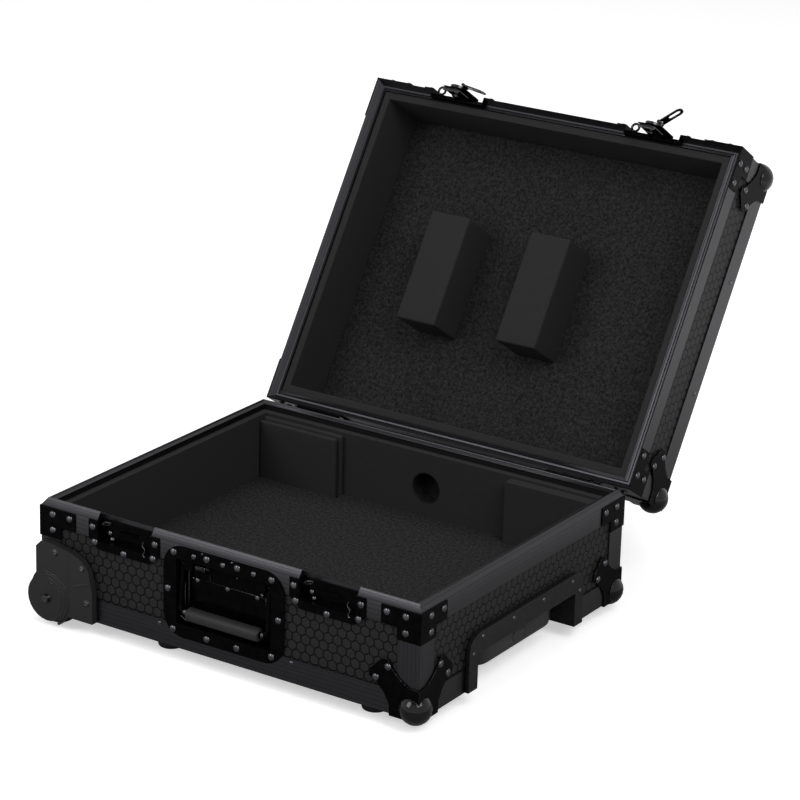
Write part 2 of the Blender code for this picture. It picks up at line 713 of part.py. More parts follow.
def latch_plate(x, rise):
    """Half of a latch dish below the rim at x. rise lifts its top edge above the rim line."""
    half = LATCH_PLATE_WIDTH / 2
    pocket = LATCH_POCKET_WIDTH / 2
    wall = PLATE_THICKNESS
    front = -HALF_Y - TOUCH_GAP
    low = RIM_Z - LATCH_PLATE_HEIGHT
    top = RIM_Z + rise
    shape = [
        (x - half, top), (x - half, low + LATCH_CHAMFER_HEIGHT), (x - half + LATCH_CHAMFER_WIDTH, low),
        (x + half - LATCH_CHAMFER_WIDTH, low), (x + half, low + LATCH_CHAMFER_HEIGHT), (x + half, top)]
    thing = sheet(shape, front - wall, front)
    floor_z = RIM_Z - LATCH_POCKET_HEIGHT
    back = -HALF_Y + LATCH_POCKET_DEPTH
    side = pocket + wall
    body = block((x - side, front - wall / 2, floor_z - wall), (x + side, back + wall, top))
    hollow = block((x - pocket, front - 2 * wall, floor_z), (x + pocket, back, top + wall))
    return cut(fuse(thing, body), hollow)


def padlock_eye(x, rise):
    """A round eye that stands out of a latch dish, level with the rim, with its tab to the dish's back."""
    wall = PLATE_THICKNESS
    back = -HALF_Y + LATCH_POCKET_DEPTH
    place = Vector((x - LATCH_EYE_OFFSET, -HALF_Y, RIM_Z + rise))
    bpy.ops.mesh.primitive_torus_add(
        major_radius=LATCH_EYE_RADIUS, minor_radius=LATCH_EYE_WIRE, major_segments=20, minor_segments=8)
    ring = bpy.context.object
    ring.data.transform(Matrix.Translation(place))
    half = LATCH_EYE_RADIUS / 2
    low = place + Vector((-half, LATCH_EYE_RADIUS, -wall / 2))
    high = Vector((place.x + half, back + wall / 2, place.z + wall / 2))
    return fuse(ring, block(low, high))


def make_latches():
    """Both butterfly latches: a keeper dish below, and a dish with claw, rotor and wing above."""
    wall = PLATE_THICKNESS
    front = -HALF_Y
    back = front + LATCH_POCKET_DEPTH
    carrier_out = front - CARRIER_PROUD
    spindle_z = RIM_Z - ROTOR_DROP
    pocket_top = RIM_Z + LATCH_POCKET_HEIGHT
    lip_z = RIM_Z - CLAW_REACH + CLAW_THICKNESS + CLAW_RISE + TOUCH_GAP
    lip_y = front + RUNNING_GAP + CLAW_THICKNESS + CLAW_FOOT + RUNNING_GAP
    for name, x in latch_centres().items():
        keeper = latch_plate(x, -TOUCH_GAP)
        half = CLAW_WIDTH / 2
        lip = block((x - half, lip_y, lip_z), (x + half, back + wall / 2, lip_z + CLAW_THICKNESS))
        piece(f"latch_keeper_{name}", fuse(keeper, lip, padlock_eye(x, -LATCH_EYE_RISE)), BLACK_STEEL)

        dish = mirrored(latch_plate(x, -SEAM_GAP), z_about=RIM_Z)
        half = CARRIER_WIDTH / 2
        bridge = block((x - half, carrier_out, pocket_top - 2 * wall),
                       (x + half, back + wall / 2, pocket_top + wall / 2))
        face = block((x - half, carrier_out - wall, RIM_Z - CARRIER_OVERHANG),
                     (x + half, carrier_out, pocket_top + wall / 2))
        bore = ROTOR_SPINDLE + RUNNING_GAP
        hole = rod((x, carrier_out - 2 * wall, spindle_z), (x, front, spindle_z), bore)
        eye = padlock_eye(x, SEAM_GAP + LATCH_EYE_RISE)
        piece(f"latch_dish_{name}", cut(fuse(dish, bridge, face, eye), hole), BLACK_STEEL, lid)
        make_claw(name, x, spindle_z)
        make_rotor_and_wing(name, x, carrier_out - wall, spindle_z)


def make_claw(name, x, spindle_z):
    """A latch's claw: a slotted plate behind the carrier with its foot bent inwards."""
    frame = Frame(f"latch_{name}_claw_axis", (x, -HALF_Y, RIM_Z), lid)
    half = CLAW_WIDTH / 2
    near = -HALF_Y + RUNNING_GAP
    far = near + CLAW_THICKNESS
    foot_z = RIM_Z - CLAW_REACH
    claw = block((x - half, near, foot_z), (x + half, far, spindle_z + ROTOR_RADIUS))
    foot = block((x - half, near, foot_z), (x + half, far + CLAW_FOOT, foot_z + CLAW_THICKNESS))
    slot = ROTOR_SPINDLE + RUNNING_GAP
    opening = block((x - slot, near - CLAW_THICKNESS, spindle_z - slot - CLAW_RISE),
                    (x + slot, far + CLAW_THICKNESS, spindle_z + slot))
    piece(f"latch_claw_{name}", cut(fuse(claw, foot), opening), BLACK_STEEL, frame)


def make_rotor_and_wing(name, x, face_y, spindle_z):
    """A latch's rotor with its spindle, cam and wing pin, and the wing that folds on the pin."""
    rotor_frame = Frame(f"latch_{name}_rotor_axis", (x, face_y, spindle_z), lid)
    disc_y = face_y - RUNNING_GAP
    disc_front = disc_y - ROTOR_THICKNESS
    disc = rod((x, disc_front, spindle_z), (x, disc_y, spindle_z), ROTOR_RADIUS, steps=24)
    cam_y = -HALF_Y + RUNNING_GAP + CLAW_THICKNESS + CLAW_DRAW_IN + RUNNING_GAP
    cam_end = cam_y + CLAW_THICKNESS
    spindle_start = disc_y - ROTOR_THICKNESS / 2
    spindle_end = cam_end - CLAW_THICKNESS / 2
    spindle = rod((x, spindle_start, spindle_z), (x, spindle_end, spindle_z), ROTOR_SPINDLE)
    cam_z = spindle_z - CLAW_RISE / 2
    cam = rod((x, cam_y, cam_z), (x, cam_end, cam_z), ROTOR_CAM_RADIUS)
    pin_x = x + WING_PIN_OFFSET - 2 * WING_PIN_RADIUS
    pin_y = disc_front - 2 * WING_PIN_RADIUS - TOUCH_GAP
    wide = WING_WIDTH / 2
    lug = WING_WIDTH / 6
    lugs = block((pin_x - 2 * WING_PIN_RADIUS, pin_y - 1.5 * WING_PIN_RADIUS, spindle_z - lug),
                 (pin_x + 2 * WING_PIN_RADIUS, disc_y - ROTOR_THICKNESS / 2, spindle_z + lug))
    pin = rod((pin_x, pin_y, spindle_z - wide), (pin_x, pin_y, spindle_z + wide), WING_PIN_RADIUS, steps=12)
    piece(f"latch_rotor_{name}", fuse(disc, spindle, cam, lugs, pin), BLACK_STEEL, rotor_frame)

    wing_frame = Frame(f"latch_{name}_wing_axis", (pin_x, pin_y, spindle_z), rotor_frame,
                       turn=(0, 0, -WING_LIFT[name]))
    root = pin_x - 2 * WING_PIN_RADIUS
    tip = pin_x + WING_LENGTH
    leaf = rounded(rectangle(root, spindle_z - wide, tip, spindle_z + wide), [0, wide * 0.9, wide * 0.9, 0])
    rail = wide / 2
    finger = rectangle(pin_x + WING_FINGER_START, spindle_z - rail, tip - rail, spindle_z + rail)
    leaf_y = pin_y - WING_THICKNESS / 2
    wing = sheet(leaf, leaf_y, leaf_y + WING_THICKNESS, holes=[rounded(finger, rail * 0.9)])
    low = (pin_x, pin_y, spindle_z - wide)
    high = (pin_x, pin_y, spindle_z + wide)
    barrel = rod(low, high, 2 * WING_PIN_RADIUS, steps=12)
    inner = lug + RUNNING_GAP
    notch = block((pin_x - 3 * WING_PIN_RADIUS, pin_y - WING_LENGTH / 4, spindle_z - inner),
                  (pin_x + 3 * WING_PIN_RADIUS, pin_y + WING_LENGTH / 4, spindle_z + inner))
    bore = rod((pin_x, pin_y, spindle_z - 2 * wide), (pin_x, pin_y, spindle_z + 2 * wide),
               WING_PIN_RADIUS + TOUCH_GAP, steps=12)
    piece(f"latch_wing_{name}", cut(fuse(wing, barrel), notch, bore), BLACK_STEEL, wing_frame)


def bail_route(centre):
    """The handle wire's path from one pivot down round the grip and up to the other."""
    half = BAIL_SPAN / 2
    corners = [(-half, 0.0), (-half, -BAIL_DROP), (half, -BAIL_DROP), (half, 0.0)]
    flat = rounded(corners, [0, BAIL_BEND, BAIL_BEND, 0])
    return [centre + Vector((u, BAIL_LEAN * v / BAIL_DROP, v)) for u, v in flat]


def wire(points, radius, resolution=2):
    """A round wire along a route."""
    curve = bpy.data.curves.new("wire", "CURVE")
    curve.dimensions = "3D"
    curve.bevel_depth = radius
    curve.bevel_resolution = resolution
    curve.use_fill_caps = True
    curve.resolution_u = 1
    spline = curve.splines.new("POLY")
    spline.points.add(len(points) - 1)
    for point, place in zip(spline.points, points):
        point.co = (*place, 1)
    thing = bpy.data.objects.new("wire", curve)
    bpy.context.scene.collection.objects.link(thing)
    bpy.context.view_layer.update()
    return as_mesh(thing)


def make_front_handle():
    """The recessed sprung handle: a dish, a wire bail with a rubber grip, and its spring."""
    wall = PLATE_THICKNESS
    front = -HALF_Y - TOUCH_GAP
    back = -HALF_Y + RECESS_DEPTH
    middle = RIM_Z - DISH_TOP - DISH_HEIGHT / 2
    wide = DISH_WIDTH / 2
    tall = DISH_HEIGHT / 2
    flange = rounded(rectangle(-wide, middle - tall, wide, middle + tall), DISH_CORNER, steps=6)
    dish = sheet(flange, front - wall, front)
    half_x = RECESS_WIDTH / 2
    half_z = RECESS_HEIGHT / 2
    body = block((-half_x - wall, front - wall / 2, middle - half_z - wall),
                 (half_x + wall, back + wall, middle + half_z + wall))
    hollow = block((-half_x, front - 2 * wall, middle - half_z), (half_x, back, middle + half_z))
    centre = Vector((0, -HALF_Y + BAIL_AXIS_INSET, RIM_Z - BAIL_AXIS_BELOW_RIM))
    clips = [bail_clip(centre, side, back + wall / 2) for side in (-1, 1)]
    piece("handle_dish", fuse(cut(fuse(dish, body), hollow), *clips), BLACK_STEEL)

    handle = Frame("handle_axis", centre)
    stubs = []
    for side in (-1, 1):
        elbow = centre + Vector((side * BAIL_SPAN / 2, 0, 0))
        end = centre + Vector((side * (BAIL_CLIP_REACH - BAIL_CLIP_WIDTH - RUNNING_GAP), 0, 0))
        stubs += [rod(end, elbow, BAIL_WIRE, steps=12), ball_end(elbow, BAIL_WIRE * 1.02)]
    bail = fuse(wire(bail_route(centre), BAIL_WIRE), *stubs)
    piece("handle_bail", smooth(bail), BLACK_STEEL, handle)

    half = BAIL_GRIP_LENGTH / 2
    radius = BAIL_GRIP_RADIUS
    bore = BAIL_WIRE + TOUCH_GAP
    shoulder = half - radius / 4
    neck = radius * 0.8
    outside = [(neck, half), (radius, shoulder), (radius, -shoulder), (neck, -half)]
    grip = turned(outside + [(bore, -half), (bore, half)], ROUND_STEPS)
    place = centre + Vector((0, -BAIL_LEAN, -BAIL_DROP))
    grip.data.transform(Matrix.Translation(place) @ Matrix.Rotation(math.pi / 2, 4, "Y"))
    piece("handle_grip", smooth(grip), RUBBER, handle)
    make_handle_spring(centre, back)


def bail_clip(centre, side, back):
    """The bearing that holds one end of the bail against the dish's back."""
    bore = BAIL_WIRE + RUNNING_GAP
    reach = bore + BAIL_CLIP_WALL
    ends = sorted((side * BAIL_CLIP_REACH, side * (BAIL_CLIP_REACH - BAIL_CLIP_WIDTH)))
    clip = block((ends[0], centre.y - reach, centre.z - reach), (ends[1], back, centre.z + reach))
    half = Vector((BAIL_SPAN, 0, 0))
    return cut(clip, rod(centre - half, centre + half, bore))


def ball_end(centre, radius):
    """A small sphere that rounds a wire's elbow."""
    bm = bmesh.new()
    bmesh.ops.create_uvsphere(bm, u_segments=12, v_segments=8, radius=radius)
    bmesh.ops.translate(bm, vec=centre, verts=bm.verts)
    return from_bmesh("elbow", bm)


def turned(profile, steps):
    """A closed profile turned about Z with the Screw modifier. Its outer side runs top to bottom."""
    bm = bmesh.new()
    verts = [bm.verts.new((r, 0, z)) for r, z in profile]
    for i in range(len(verts)):
        bm.edges.new((verts[i - 1], verts[i]))
    thing = from_bmesh("turned", bm)
    screw = thing.modifiers.new("turn", "SCREW")
    screw.steps = steps
    screw.render_steps = steps
    screw.use_merge_vertices = True
    screw.merge_threshold = 0.00001
    bpy.context.view_layer.update()
    made = as_mesh(thing)
    bm = bmesh.new()
    bm.from_mesh(made.data)
    bmesh.ops.recalc_face_normals(bm, faces=bm.faces)
    bm.to_mesh(made.data)
    bm.free()
    return made


def print_least_gap(name, route, radius, apart):
    """Measures how close a coiled wire comes to itself, between points at least so many steps apart."""
    gaps = [(a - b).length for i, a in enumerate(route) for b in route[i + apart:]]
    print(name, "least gap to itself", round((min(gaps) - 2 * radius) * 1000, 2), "mm")


def make_handle_spring(centre, back):
    """The torsion spring round the bail's axis, with one leg against the dish's back."""
    steps = 10
    start = BAIL_CLIP_WIDTH - BAIL_CLIP_REACH + SPRING_SIDE_GAP
    route = []
    for k in range(SPRING_TURNS * steps + 1):
        angle = -math.pi / 2 + 2 * math.pi * k / steps
        along = start + SPRING_PITCH * k / steps
        spoke = Vector((along, SPRING_RADIUS * math.cos(angle), SPRING_RADIUS * math.sin(angle)))
        route.append(Vector((0, centre.y, centre.z)) + spoke)
    leg_y = back - SPRING_WIRE - TOUCH_GAP
    first = route[0]
    last = route[-1]
    route = [first - Vector((0, SPRING_WIRE * k, 0)) for k in (2, 1)] + route
    bend = Vector((last.x, (last.y + leg_y) / 2, last.z - 2 * SPRING_WIRE))
    leg = [Vector((last.x, leg_y, last.z - down)) for down in (3 * SPRING_WIRE, SPRING_LEG)]
    route += [bend, *leg]
    print_least_gap("handle spring", route, SPRING_WIRE, steps // 2)
    piece("handle_spring", smooth(wire(route, SPRING_WIRE, resolution=1)), BLACK_STEEL)


def hinge_leaf(x, lower):
    """One leaf of a hinge on the back face, with its knuckles round the pin."""
    half = HINGE_WIDTH / 2
    back = HALF_Y + TOUCH_GAP
    sign = -1 if lower else 1
    radius = HINGE_KNUCKLE_RADIUS
    pitch = HINGE_WIDTH / HINGE_KNUCKLES
    ends = sorted((RIM_Z + sign * radius / 4, RIM_Z + sign * HINGE_LEAF_HEIGHT))
    root = sorted((RIM_Z, RIM_Z + sign * radius * 1.4))
    leaf = block((x - half, back, ends[0]), (x + half, back + HINGE_LEAF_THICKNESS, ends[1]))
    knuckles = []
    gaps = []
    for i in range(HINGE_KNUCKLES):
        start = x - half + i * pitch
        end = start + pitch
        if (i % 2 == 0) == lower:
            start += TOUCH_GAP
            end -= TOUCH_GAP
            knuckles.append(rod((start, HINGE_Y, RIM_Z), (end, HINGE_Y, RIM_Z), radius))
            knuckles.append(block((start, back, root[0]), (end, HINGE_Y, root[1])))
        else:
            start -= TOUCH_GAP
            end += TOUCH_GAP
            gaps.append(rod((start, HINGE_Y, RIM_Z), (end, HINGE_Y, RIM_Z), radius + RUNNING_GAP))
    return cut(fuse(leaf, *knuckles), *gaps)


def hinge_rod(x, beyond, radius):
    """A rod along the hinge axis."""
    reach = HINGE_WIDTH / 2 + beyond
    return rod((x - reach, HINGE_Y, RIM_Z), (x + reach, HINGE_Y, RIM_Z), radius, steps=16)


def make_hinges():
    """Two steel butt hinges on the back. The lower leaves carry the pins."""
    for name, x in (("left", -HALF_X + HINGE_FROM_SIDE), ("right", HALF_X - HINGE_FROM_SIDE)):
        lower = fuse(hinge_leaf(x, True), hinge_rod(x, TOUCH_GAP, HINGE_PIN_RADIUS))
        piece(f"hinge_base_leaf_{name}", smooth(lower), BLACK_STEEL)
        upper = cut(hinge_leaf(x, False), hinge_rod(x, HINGE_WIDTH, HINGE_PIN_RADIUS + TOUCH_GAP))
        piece(f"hinge_lid_leaf_{name}", smooth(upper), BLACK_STEEL, lid)


def housing_outline():
    """The moulded corner's outline on the front, from the case's lower left corner."""
    w = HOUSING_WIDTH
    h = HOUSING_HEIGHT
    side = -HOUSING_SIDE_PROUD
    end_low = math.degrees(math.asin(-WHEEL_AXLE_HEIGHT / HOUSING_MOUTH))
    end_side = 180 - math.degrees(math.acos((WHEEL_FROM_SIDE - side) / HOUSING_MOUTH))
    mouth = arc((WHEEL_FROM_SIDE, WHEEL_AXLE_HEIGHT), HOUSING_MOUTH, end_side, 360 + end_low, 14)
    crown = [(w * u, h * v) for u, v in HOUSING_CROWN]
    return mouth + [(w, 0.0)] + crown + [(side, h * HOUSING_SHOULDER)]


def wheel_housing():
    """The front moulded corner: a cheek over the wheel's face, a well behind it, and the wheel's bolt."""
    left = -HALF_X
    front = -HALF_Y
    wall = HOUSING_WALL
    deep = front + WELL_DEPTH
    top = BASE_Z + WELL_TOP
    reach = left + WELL_REACH
    edge = left - HOUSING_SIDE_PROUD
    inside = front - HOUSING_PROUD / 2
    outline = [(left + u, BASE_Z + v) for u, v in housing_outline()]
    cheek = sheet(outline, front - HOUSING_PROUD, front - TOUCH_GAP)
    well = block((edge, inside, BASE_Z + TOUCH_GAP), (reach, deep, top))
    shoulder = BASE_Z + HOUSING_HEIGHT * HOUSING_SHOULDER
    flange = block((edge, inside, top - wall), (left - TOUCH_GAP, deep, shoulder))
    away = HOUSING_WIDTH
    room = block((left - away, front, BASE_Z - away), (reach - wall, deep - wall, top - wall))
    axle_x = left + WHEEL_FROM_SIDE
    axle_z = BASE_Z + WHEEL_AXLE_HEIGHT
    head_y = front - HOUSING_PROUD
    bolt = rod((axle_x, head_y, axle_z), (axle_x, deep - wall / 2, axle_z), AXLE_RADIUS)
    head = rod((axle_x, head_y + wall / 2, axle_z), (axle_x, head_y - AXLE_HEAD_HEIGHT, axle_z),
               AXLE_HEAD_RADIUS, AXLE_HEAD_TIP_RADIUS)
    return fuse(cut(fuse(cheek, well, flange), room), bolt, head)


def wheel_profile():
    """Half a wheel's section, as (radius, offset) points from one side's bore to the other's."""
    half = WHEEL_WIDTH / 2
    boss = WHEEL_BOSS_RADIUS
    face = half - WHEEL_DISH_DEPTH
    bore = AXLE_RADIUS + TOUCH_GAP
    flank = [(WHEEL_RADIUS - away, half - inset) for away, inset in WHEEL_FLANK]
    side = [(bore, half), (boss, half), (boss + WHEEL_FLANK[0][1], face), (WHEEL_HUB_RADIUS, face)] + flank
    return side + [(WHEEL_RADIUS, 0.0)] + [(u, -v) for u, v in reversed(side)]


def make_wheels():
    """Two wheels on bolts in moulded corners, front and back of the left end."""
    for name, sign in (("front", 1), ("back", -1)):
        piece(f"wheel_housing_{name}", mirrored(wheel_housing(), y=sign < 0), MOULDED)
        place = Vector((-HALF_X + WHEEL_FROM_SIDE, sign * (RUNNING_GAP + WHEEL_WIDTH / 2 - HALF_Y),
                        BASE_Z + WHEEL_AXLE_HEIGHT))
        wheel = turned(wheel_profile(), 36)
        wheel.data.transform(Matrix.Translation(place) @ Matrix.Rotation(math.pi / 2, 4, "X"))
        piece(f"wheel_{name}", smooth(wheel), RUBBER, Frame(f"wheel_axis_{name}", place))


def trolley_outline():
    """The trolley housing's outer face: an arch that stands on the case's lower edge."""
    half = HALF_Y - TROLLEY_PLATE_FROM_FRONT
    top = RIM_Z - TROLLEY_PLATE_TOP
    mouth = TROLLEY_MOUTH_HALF
    corners = [(-half, BASE_Z), (-mouth, BASE_Z), (-mouth, TROLLEY_MOUTH_Z), (mouth, TROLLEY_MOUTH_Z),
               (mouth, BASE_Z), (half, BASE_Z), (half, top), (-half, top)]
    turn = TROLLEY_PLATE_CORNER
    return rounded(corners, [0, 0, TROLLEY_MOUTH_CORNER, TROLLEY_MOUTH_CORNER, 0, 0, turn, turn])


def tube_block(x0, x1, y, around):
    """A cuboid as wide and high as a trolley tube and so much more all round."""
    centre = Vector(((x0 + x1) / 2, y, TROLLEY_Z))
    half = Vector(((x1 - x0) / 2, TROLLEY_TUBE_WIDTH / 2 + around, TROLLEY_TUBE_HEIGHT / 2 + around))
    return bar(centre, half)


def make_trolley():
    """The trolley: an arched housing with a recess, two sleeves, two tubes, a grip and its button."""
    out = HALF_X
    liner = TROLLEY_LINER
    gap = RUNNING_GAP
    half = TROLLEY_MOUTH_HALF
    back_x = out - TROLLEY_RECESS_DEPTH
    sides = {"front": -TROLLEY_TUBE_SPREAD / 2, "back": TROLLEY_TUBE_SPREAD / 2}
    plate = sheet(trolley_outline(), out + TOUCH_GAP, out + TROLLEY_PLATE_PROUD, view=SIDE_VIEW)
    shell = block((back_x - liner, -half - liner, BASE_Z),
                  (out + TROLLEY_PLATE_PROUD / 2, half + liner, TROLLEY_MOUTH_Z + liner))
    room = block((back_x, -half, GROUND_Z), (out + TROLLEY_RECESS_DEPTH, half, TROLLEY_MOUTH_Z))
    windows = [tube_block(back_x - 2 * liner, back_x + liner, y, gap) for y in sides.values()]
    piece("trolley_housing", cut(fuse(plate, shell), room, *windows), PLASTIC)

    wall = TROLLEY_SLEEVE_WALL
    start = back_x - liner - TOUCH_GAP
    end = start - TROLLEY_SLEEVE_LENGTH
    floor_z = BASE_Z + PANEL_INSET + PANEL_THICKNESS + TOUCH_GAP
    straps = [block((x, sides["front"], floor_z), (x + TROLLEY_STRAP, sides["back"], TROLLEY_Z))
              for x in (start - TROLLEY_STRAP, end)]
    tubes = [tube_block(end, start, y, gap + wall) for y in sides.values()]
    bores = [tube_block(end - wall, start + wall, y, gap) for y in sides.values()]
    piece("trolley_sleeves", cut(fuse(*straps, *tubes), *bores), BLACK_STEEL)

    grip_out = out - TROLLEY_GRIP_INSET
    grip_in = grip_out - TROLLEY_GRIP_DEPTH
    trolley = Frame("trolley_axis", (grip_out, 0, TROLLEY_Z))
    tube_end = grip_in + TROLLEY_TUBE_SOCKET
    for name, y in sides.items():
        tube = tube_block(tube_end - TROLLEY_TUBE_LENGTH, tube_end, y, 0)
        piece(f"trolley_tube_{name}", bevel(tube, TROLLEY_TUBE_EDGE), BLACK_STEEL, trolley)
    sockets = [tube_block(grip_in - liner, tube_end + TOUCH_GAP, y, TOUCH_GAP) for y in sides.values()]
    length = TROLLEY_BUTTON_LENGTH / 2
    height = TROLLEY_BUTTON_HEIGHT / 2
    pocket = bar((grip_out, 0, TROLLEY_Z), (TROLLEY_BUTTON_DEPTH, length + TOUCH_GAP, height + TOUCH_GAP))
    piece("trolley_grip", cut(trolley_grip(grip_in, grip_out), *sockets, pocket), RUBBER, trolley)

    outline = rounded(rectangle(-length, TROLLEY_Z - height, length, TROLLEY_Z + height), height * 0.9)
    rest = grip_out - TROLLEY_BUTTON_DEPTH + TROLLEY_BUTTON_TRAVEL + TOUCH_GAP
    button = sheet(outline, rest, grip_out + TOUCH_GAP, view=SIDE_VIEW)
    piece("trolley_button", button, PLASTIC, Frame("trolley_button_axis", (grip_out, 0, TROLLEY_Z), trolley))


def bevel_edges(bm, edges, width, segments):
    """Rounds some edges of a bmesh."""
    bmesh.ops.bevel(
        bm, geom=edges, offset=width, segments=segments, profile=0.5, material=-1, affect="EDGES")


def bevel(thing, width):
    """Rounds every edge of a solid."""
    bm = bmesh.new()
    bm.from_mesh(thing.data)
    bevel_edges(bm, bm.edges[:], width, 2)
    bm.to_mesh(thing.data)
    bm.free()
    return thing


def trolley_grip(inner, outer):
    """A fat moulded grip bar with round ends and a rounded lower edge."""
    middle = Vector(((inner + outer) / 2, 0, TROLLEY_Z))
    thing = bar(middle, (TROLLEY_GRIP_DEPTH / 2, TROLLEY_GRIP_LENGTH / 2, TROLLEY_GRIP_HEIGHT / 2))
    bm = bmesh.new()
    bm.from_mesh(thing.data)
    upright = [e for e in bm.edges if abs(e.verts[0].co.z - e.verts[1].co.z) > TROLLEY_GRIP_HEIGHT / 2
               and min(v.co.x for v in e.verts) > middle.x]
    bevel_edges(bm, upright, TROLLEY_GRIP_ROUND, 5)
    rim = [e for e in bm.edges if abs(e.verts[0].co.z - e.verts[1].co.z) < TOUCH_GAP
           and max(v.co.x for v in e.verts) > inner + TOUCH_GAP]
    bevel_edges(bm, rim, TROLLEY_GRIP_EDGE, 3)
    bm.to_mesh(thing.data)
    bm.free()
    return smooth(thing)


def make_feet():
    """Four rubber feet under the base, and two on the lid's left wall to stand the case on end."""
    for x_name, x in (("left", -HALF_X + FOOT_LEFT), ("right", HALF_X - FOOT_RIGHT)):
        for y_name, y in (("front", -HALF_Y + FOOT_INSET), ("back", HALF_Y - FOOT_INSET)):
            top = BASE_Z - TOUCH_GAP
            foot = rod((x, y, GROUND_Z), (x, y, top), FOOT_TIP_RADIUS, FOOT_TOP_RADIUS, steps=28)
            piece(f"base_foot_{y_name}_{x_name}", smooth(foot), RUBBER)
    z = RIM_Z + LID_HEIGHT / 2
    side = -HALF_X + PANEL_INSET - TOUCH_GAP
    tip = -HALF_X - FOOT_HEIGHT
    for name, y in (("front", -HALF_Y + SIDE_FOOT_FRONT), ("back", HALF_Y - SIDE_FOOT_BACK)):
        foot = rod((tip, y, z), (side, y, z), FOOT_TIP_RADIUS, FOOT_TOP_RADIUS, steps=28)
        piece(f"lid_side_foot_{name}", smooth(foot), RUBBER, lid)


def lining(low, high):
    """A ring of foam against the four walls."""
    a = LINING_INSET
    b = INNER_INSET
    outer = block((-HALF_X + a, -HALF_Y + a, low), (HALF_X - a, HALF_Y - a, high))
    inner = block((-HALF_X + b, -HALF_Y + b, low - b), (HALF_X - b, HALF_Y - b, high + b))
    return cut(outer, inner)


def make_linings():
    """Foam walls, the carpeted floor board, corner pads and the lid's blocks.

    The right wall's strip is cut level with the roof of the trolley's recess along its whole length.
    """
    floor_z = RIM_Z - FLOOR_BELOW_RIM
    board_z = floor_z - CARPET_THICKNESS - FLOOR_BOARD
    g = TOUCH_GAP
    ring = lining(board_z, RIM_Z - LINING_BELOW_RIM)
    pad_top = RIM_Z - PAD_BELOW_RIM
    x1 = HALF_X - INNER_INSET
    y1 = HALF_Y - INNER_INSET
    right_pad = block((x1 - PAD_WIDTH, y1 - PAD_THICKNESS, board_z), (x1 + g, y1 + g, pad_top))
    wells = [wheel_hole(), mirrored(wheel_hole(), y=True)]
    recess_roof = TROLLEY_MOUTH_Z + TROLLEY_LINER + g
    below_strip = block((x1 - g, -y1, BASE_Z), (HALF_X, y1 - PAD_THICKNESS, recess_roof))
    ring = cut(fuse(ring, right_pad), handle_hole(), below_strip, *wells)
    piece("base_foam_lining", cut(ring, port_hole(PORT_RADIUS + PORT_WALL + g)), FOAM)
    left_pad = block((-x1 + g, y1 - PAD_THICKNESS, board_z), (-x1 + PAD_WIDTH, y1 - g, pad_top))
    piece("base_foam_pad", cut(left_pad, mirrored(wheel_hole(), y=True)), FOAM)
    board = block((-x1 + g, -y1 + g, board_z), (x1 - g, y1 - g, floor_z))
    for side in (-1, 1):
        near = side * (x1 - PAD_WIDTH - g)
        far = side * HALF_X
        low = (min(near, far), y1 - PAD_THICKNESS - g, board_z - g)
        cut(board, block(low, (max(near, far), HALF_Y, floor_z + g)))
    board = cut(board, trolley_hole(), wheel_hole(), mirrored(wheel_hole(), y=True))
    piece("carpeted_floor_board", board, CARPET)

    ceiling = LID_TOP_Z - PANEL_INSET - PANEL_THICKNESS - g
    felt_z = ceiling - CARPET_THICKNESS
    lining_z = RIM_Z + TONGUE_RISE - TONGUE_FALL + SEAM_GAP + LINING_BELOW_RIM
    piece("lid_foam_lining", lining(lining_z, ceiling), FOAM, lid)
    felt = block((-x1 + g, -y1 + g, felt_z), (x1 - g, y1 - g, ceiling))
    piece("lid_carpet", felt, CARPET, lid)
    for i, name in enumerate(("left", "right")):
        x = -HALF_X + BLOCK_LEFT + i * BLOCK_PITCH
        y = -HALF_Y + BLOCK_FROM_FRONT
        foam = block((x - BLOCK_WIDTH / 2, y - BLOCK_LENGTH / 2, felt_z - g - BLOCK_HEIGHT),
                     (x + BLOCK_WIDTH / 2, y + BLOCK_LENGTH / 2, felt_z - g))
        piece(f"lid_foam_block_{name}", foam, FOAM, lid)


def make_cable_port():
    """A flanged blanking cup in the cable hole through the back wall and its lining."""
    z = RIM_Z - PORT_BELOW_RIM
    inner = PORT_RADIUS
    outer = PORT_RADIUS + PORT_WALL
    flange = outer + PORT_FLANGE
    outside = HALF_Y - PANEL_INSET + TOUCH_GAP
    inside = HALF_Y - INNER_INSET + TOUCH_GAP
    lip = outside + PORT_FLANGE_THICKNESS
    profile = [(inner, lip), (flange, lip), (flange, outside), (outer, outside), (outer, inside)]
    sleeve = turned(profile + [(inner, inside)], 32)
    sleeve.data.transform(Matrix.Translation((0, 0, z)) @ Matrix.Rotation(-math.pi / 2, 4, "X"))
    closed_end = rod((0, lip - PORT_WALL, z), (0, lip, z), inner + PORT_WALL / 2, steps=32)
    piece("cable_port", smooth(fuse(sleeve, closed_end)), PLASTIC)


make_base_tray()
make_lid_tray()
make_base_edging()
make_lid_edging()
make_braces()
make_ball_corners()
make_latches()
make_front_handle()
make_hinges()
make_wheels()
make_trolley()
make_feet()
make_linings()
make_cable_port()
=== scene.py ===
"""Looks of the turntable flight case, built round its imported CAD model.

Metres, +Z up, X left to right along the front, Y front to back, origin on the floor board's top.
Pieces of the lid are shaped as they lie with the lid shut, and then swung open with it.
"""

import json
import math

import bmesh
import bpy
from mathutils import Matrix, Quaternion, Vector, noise

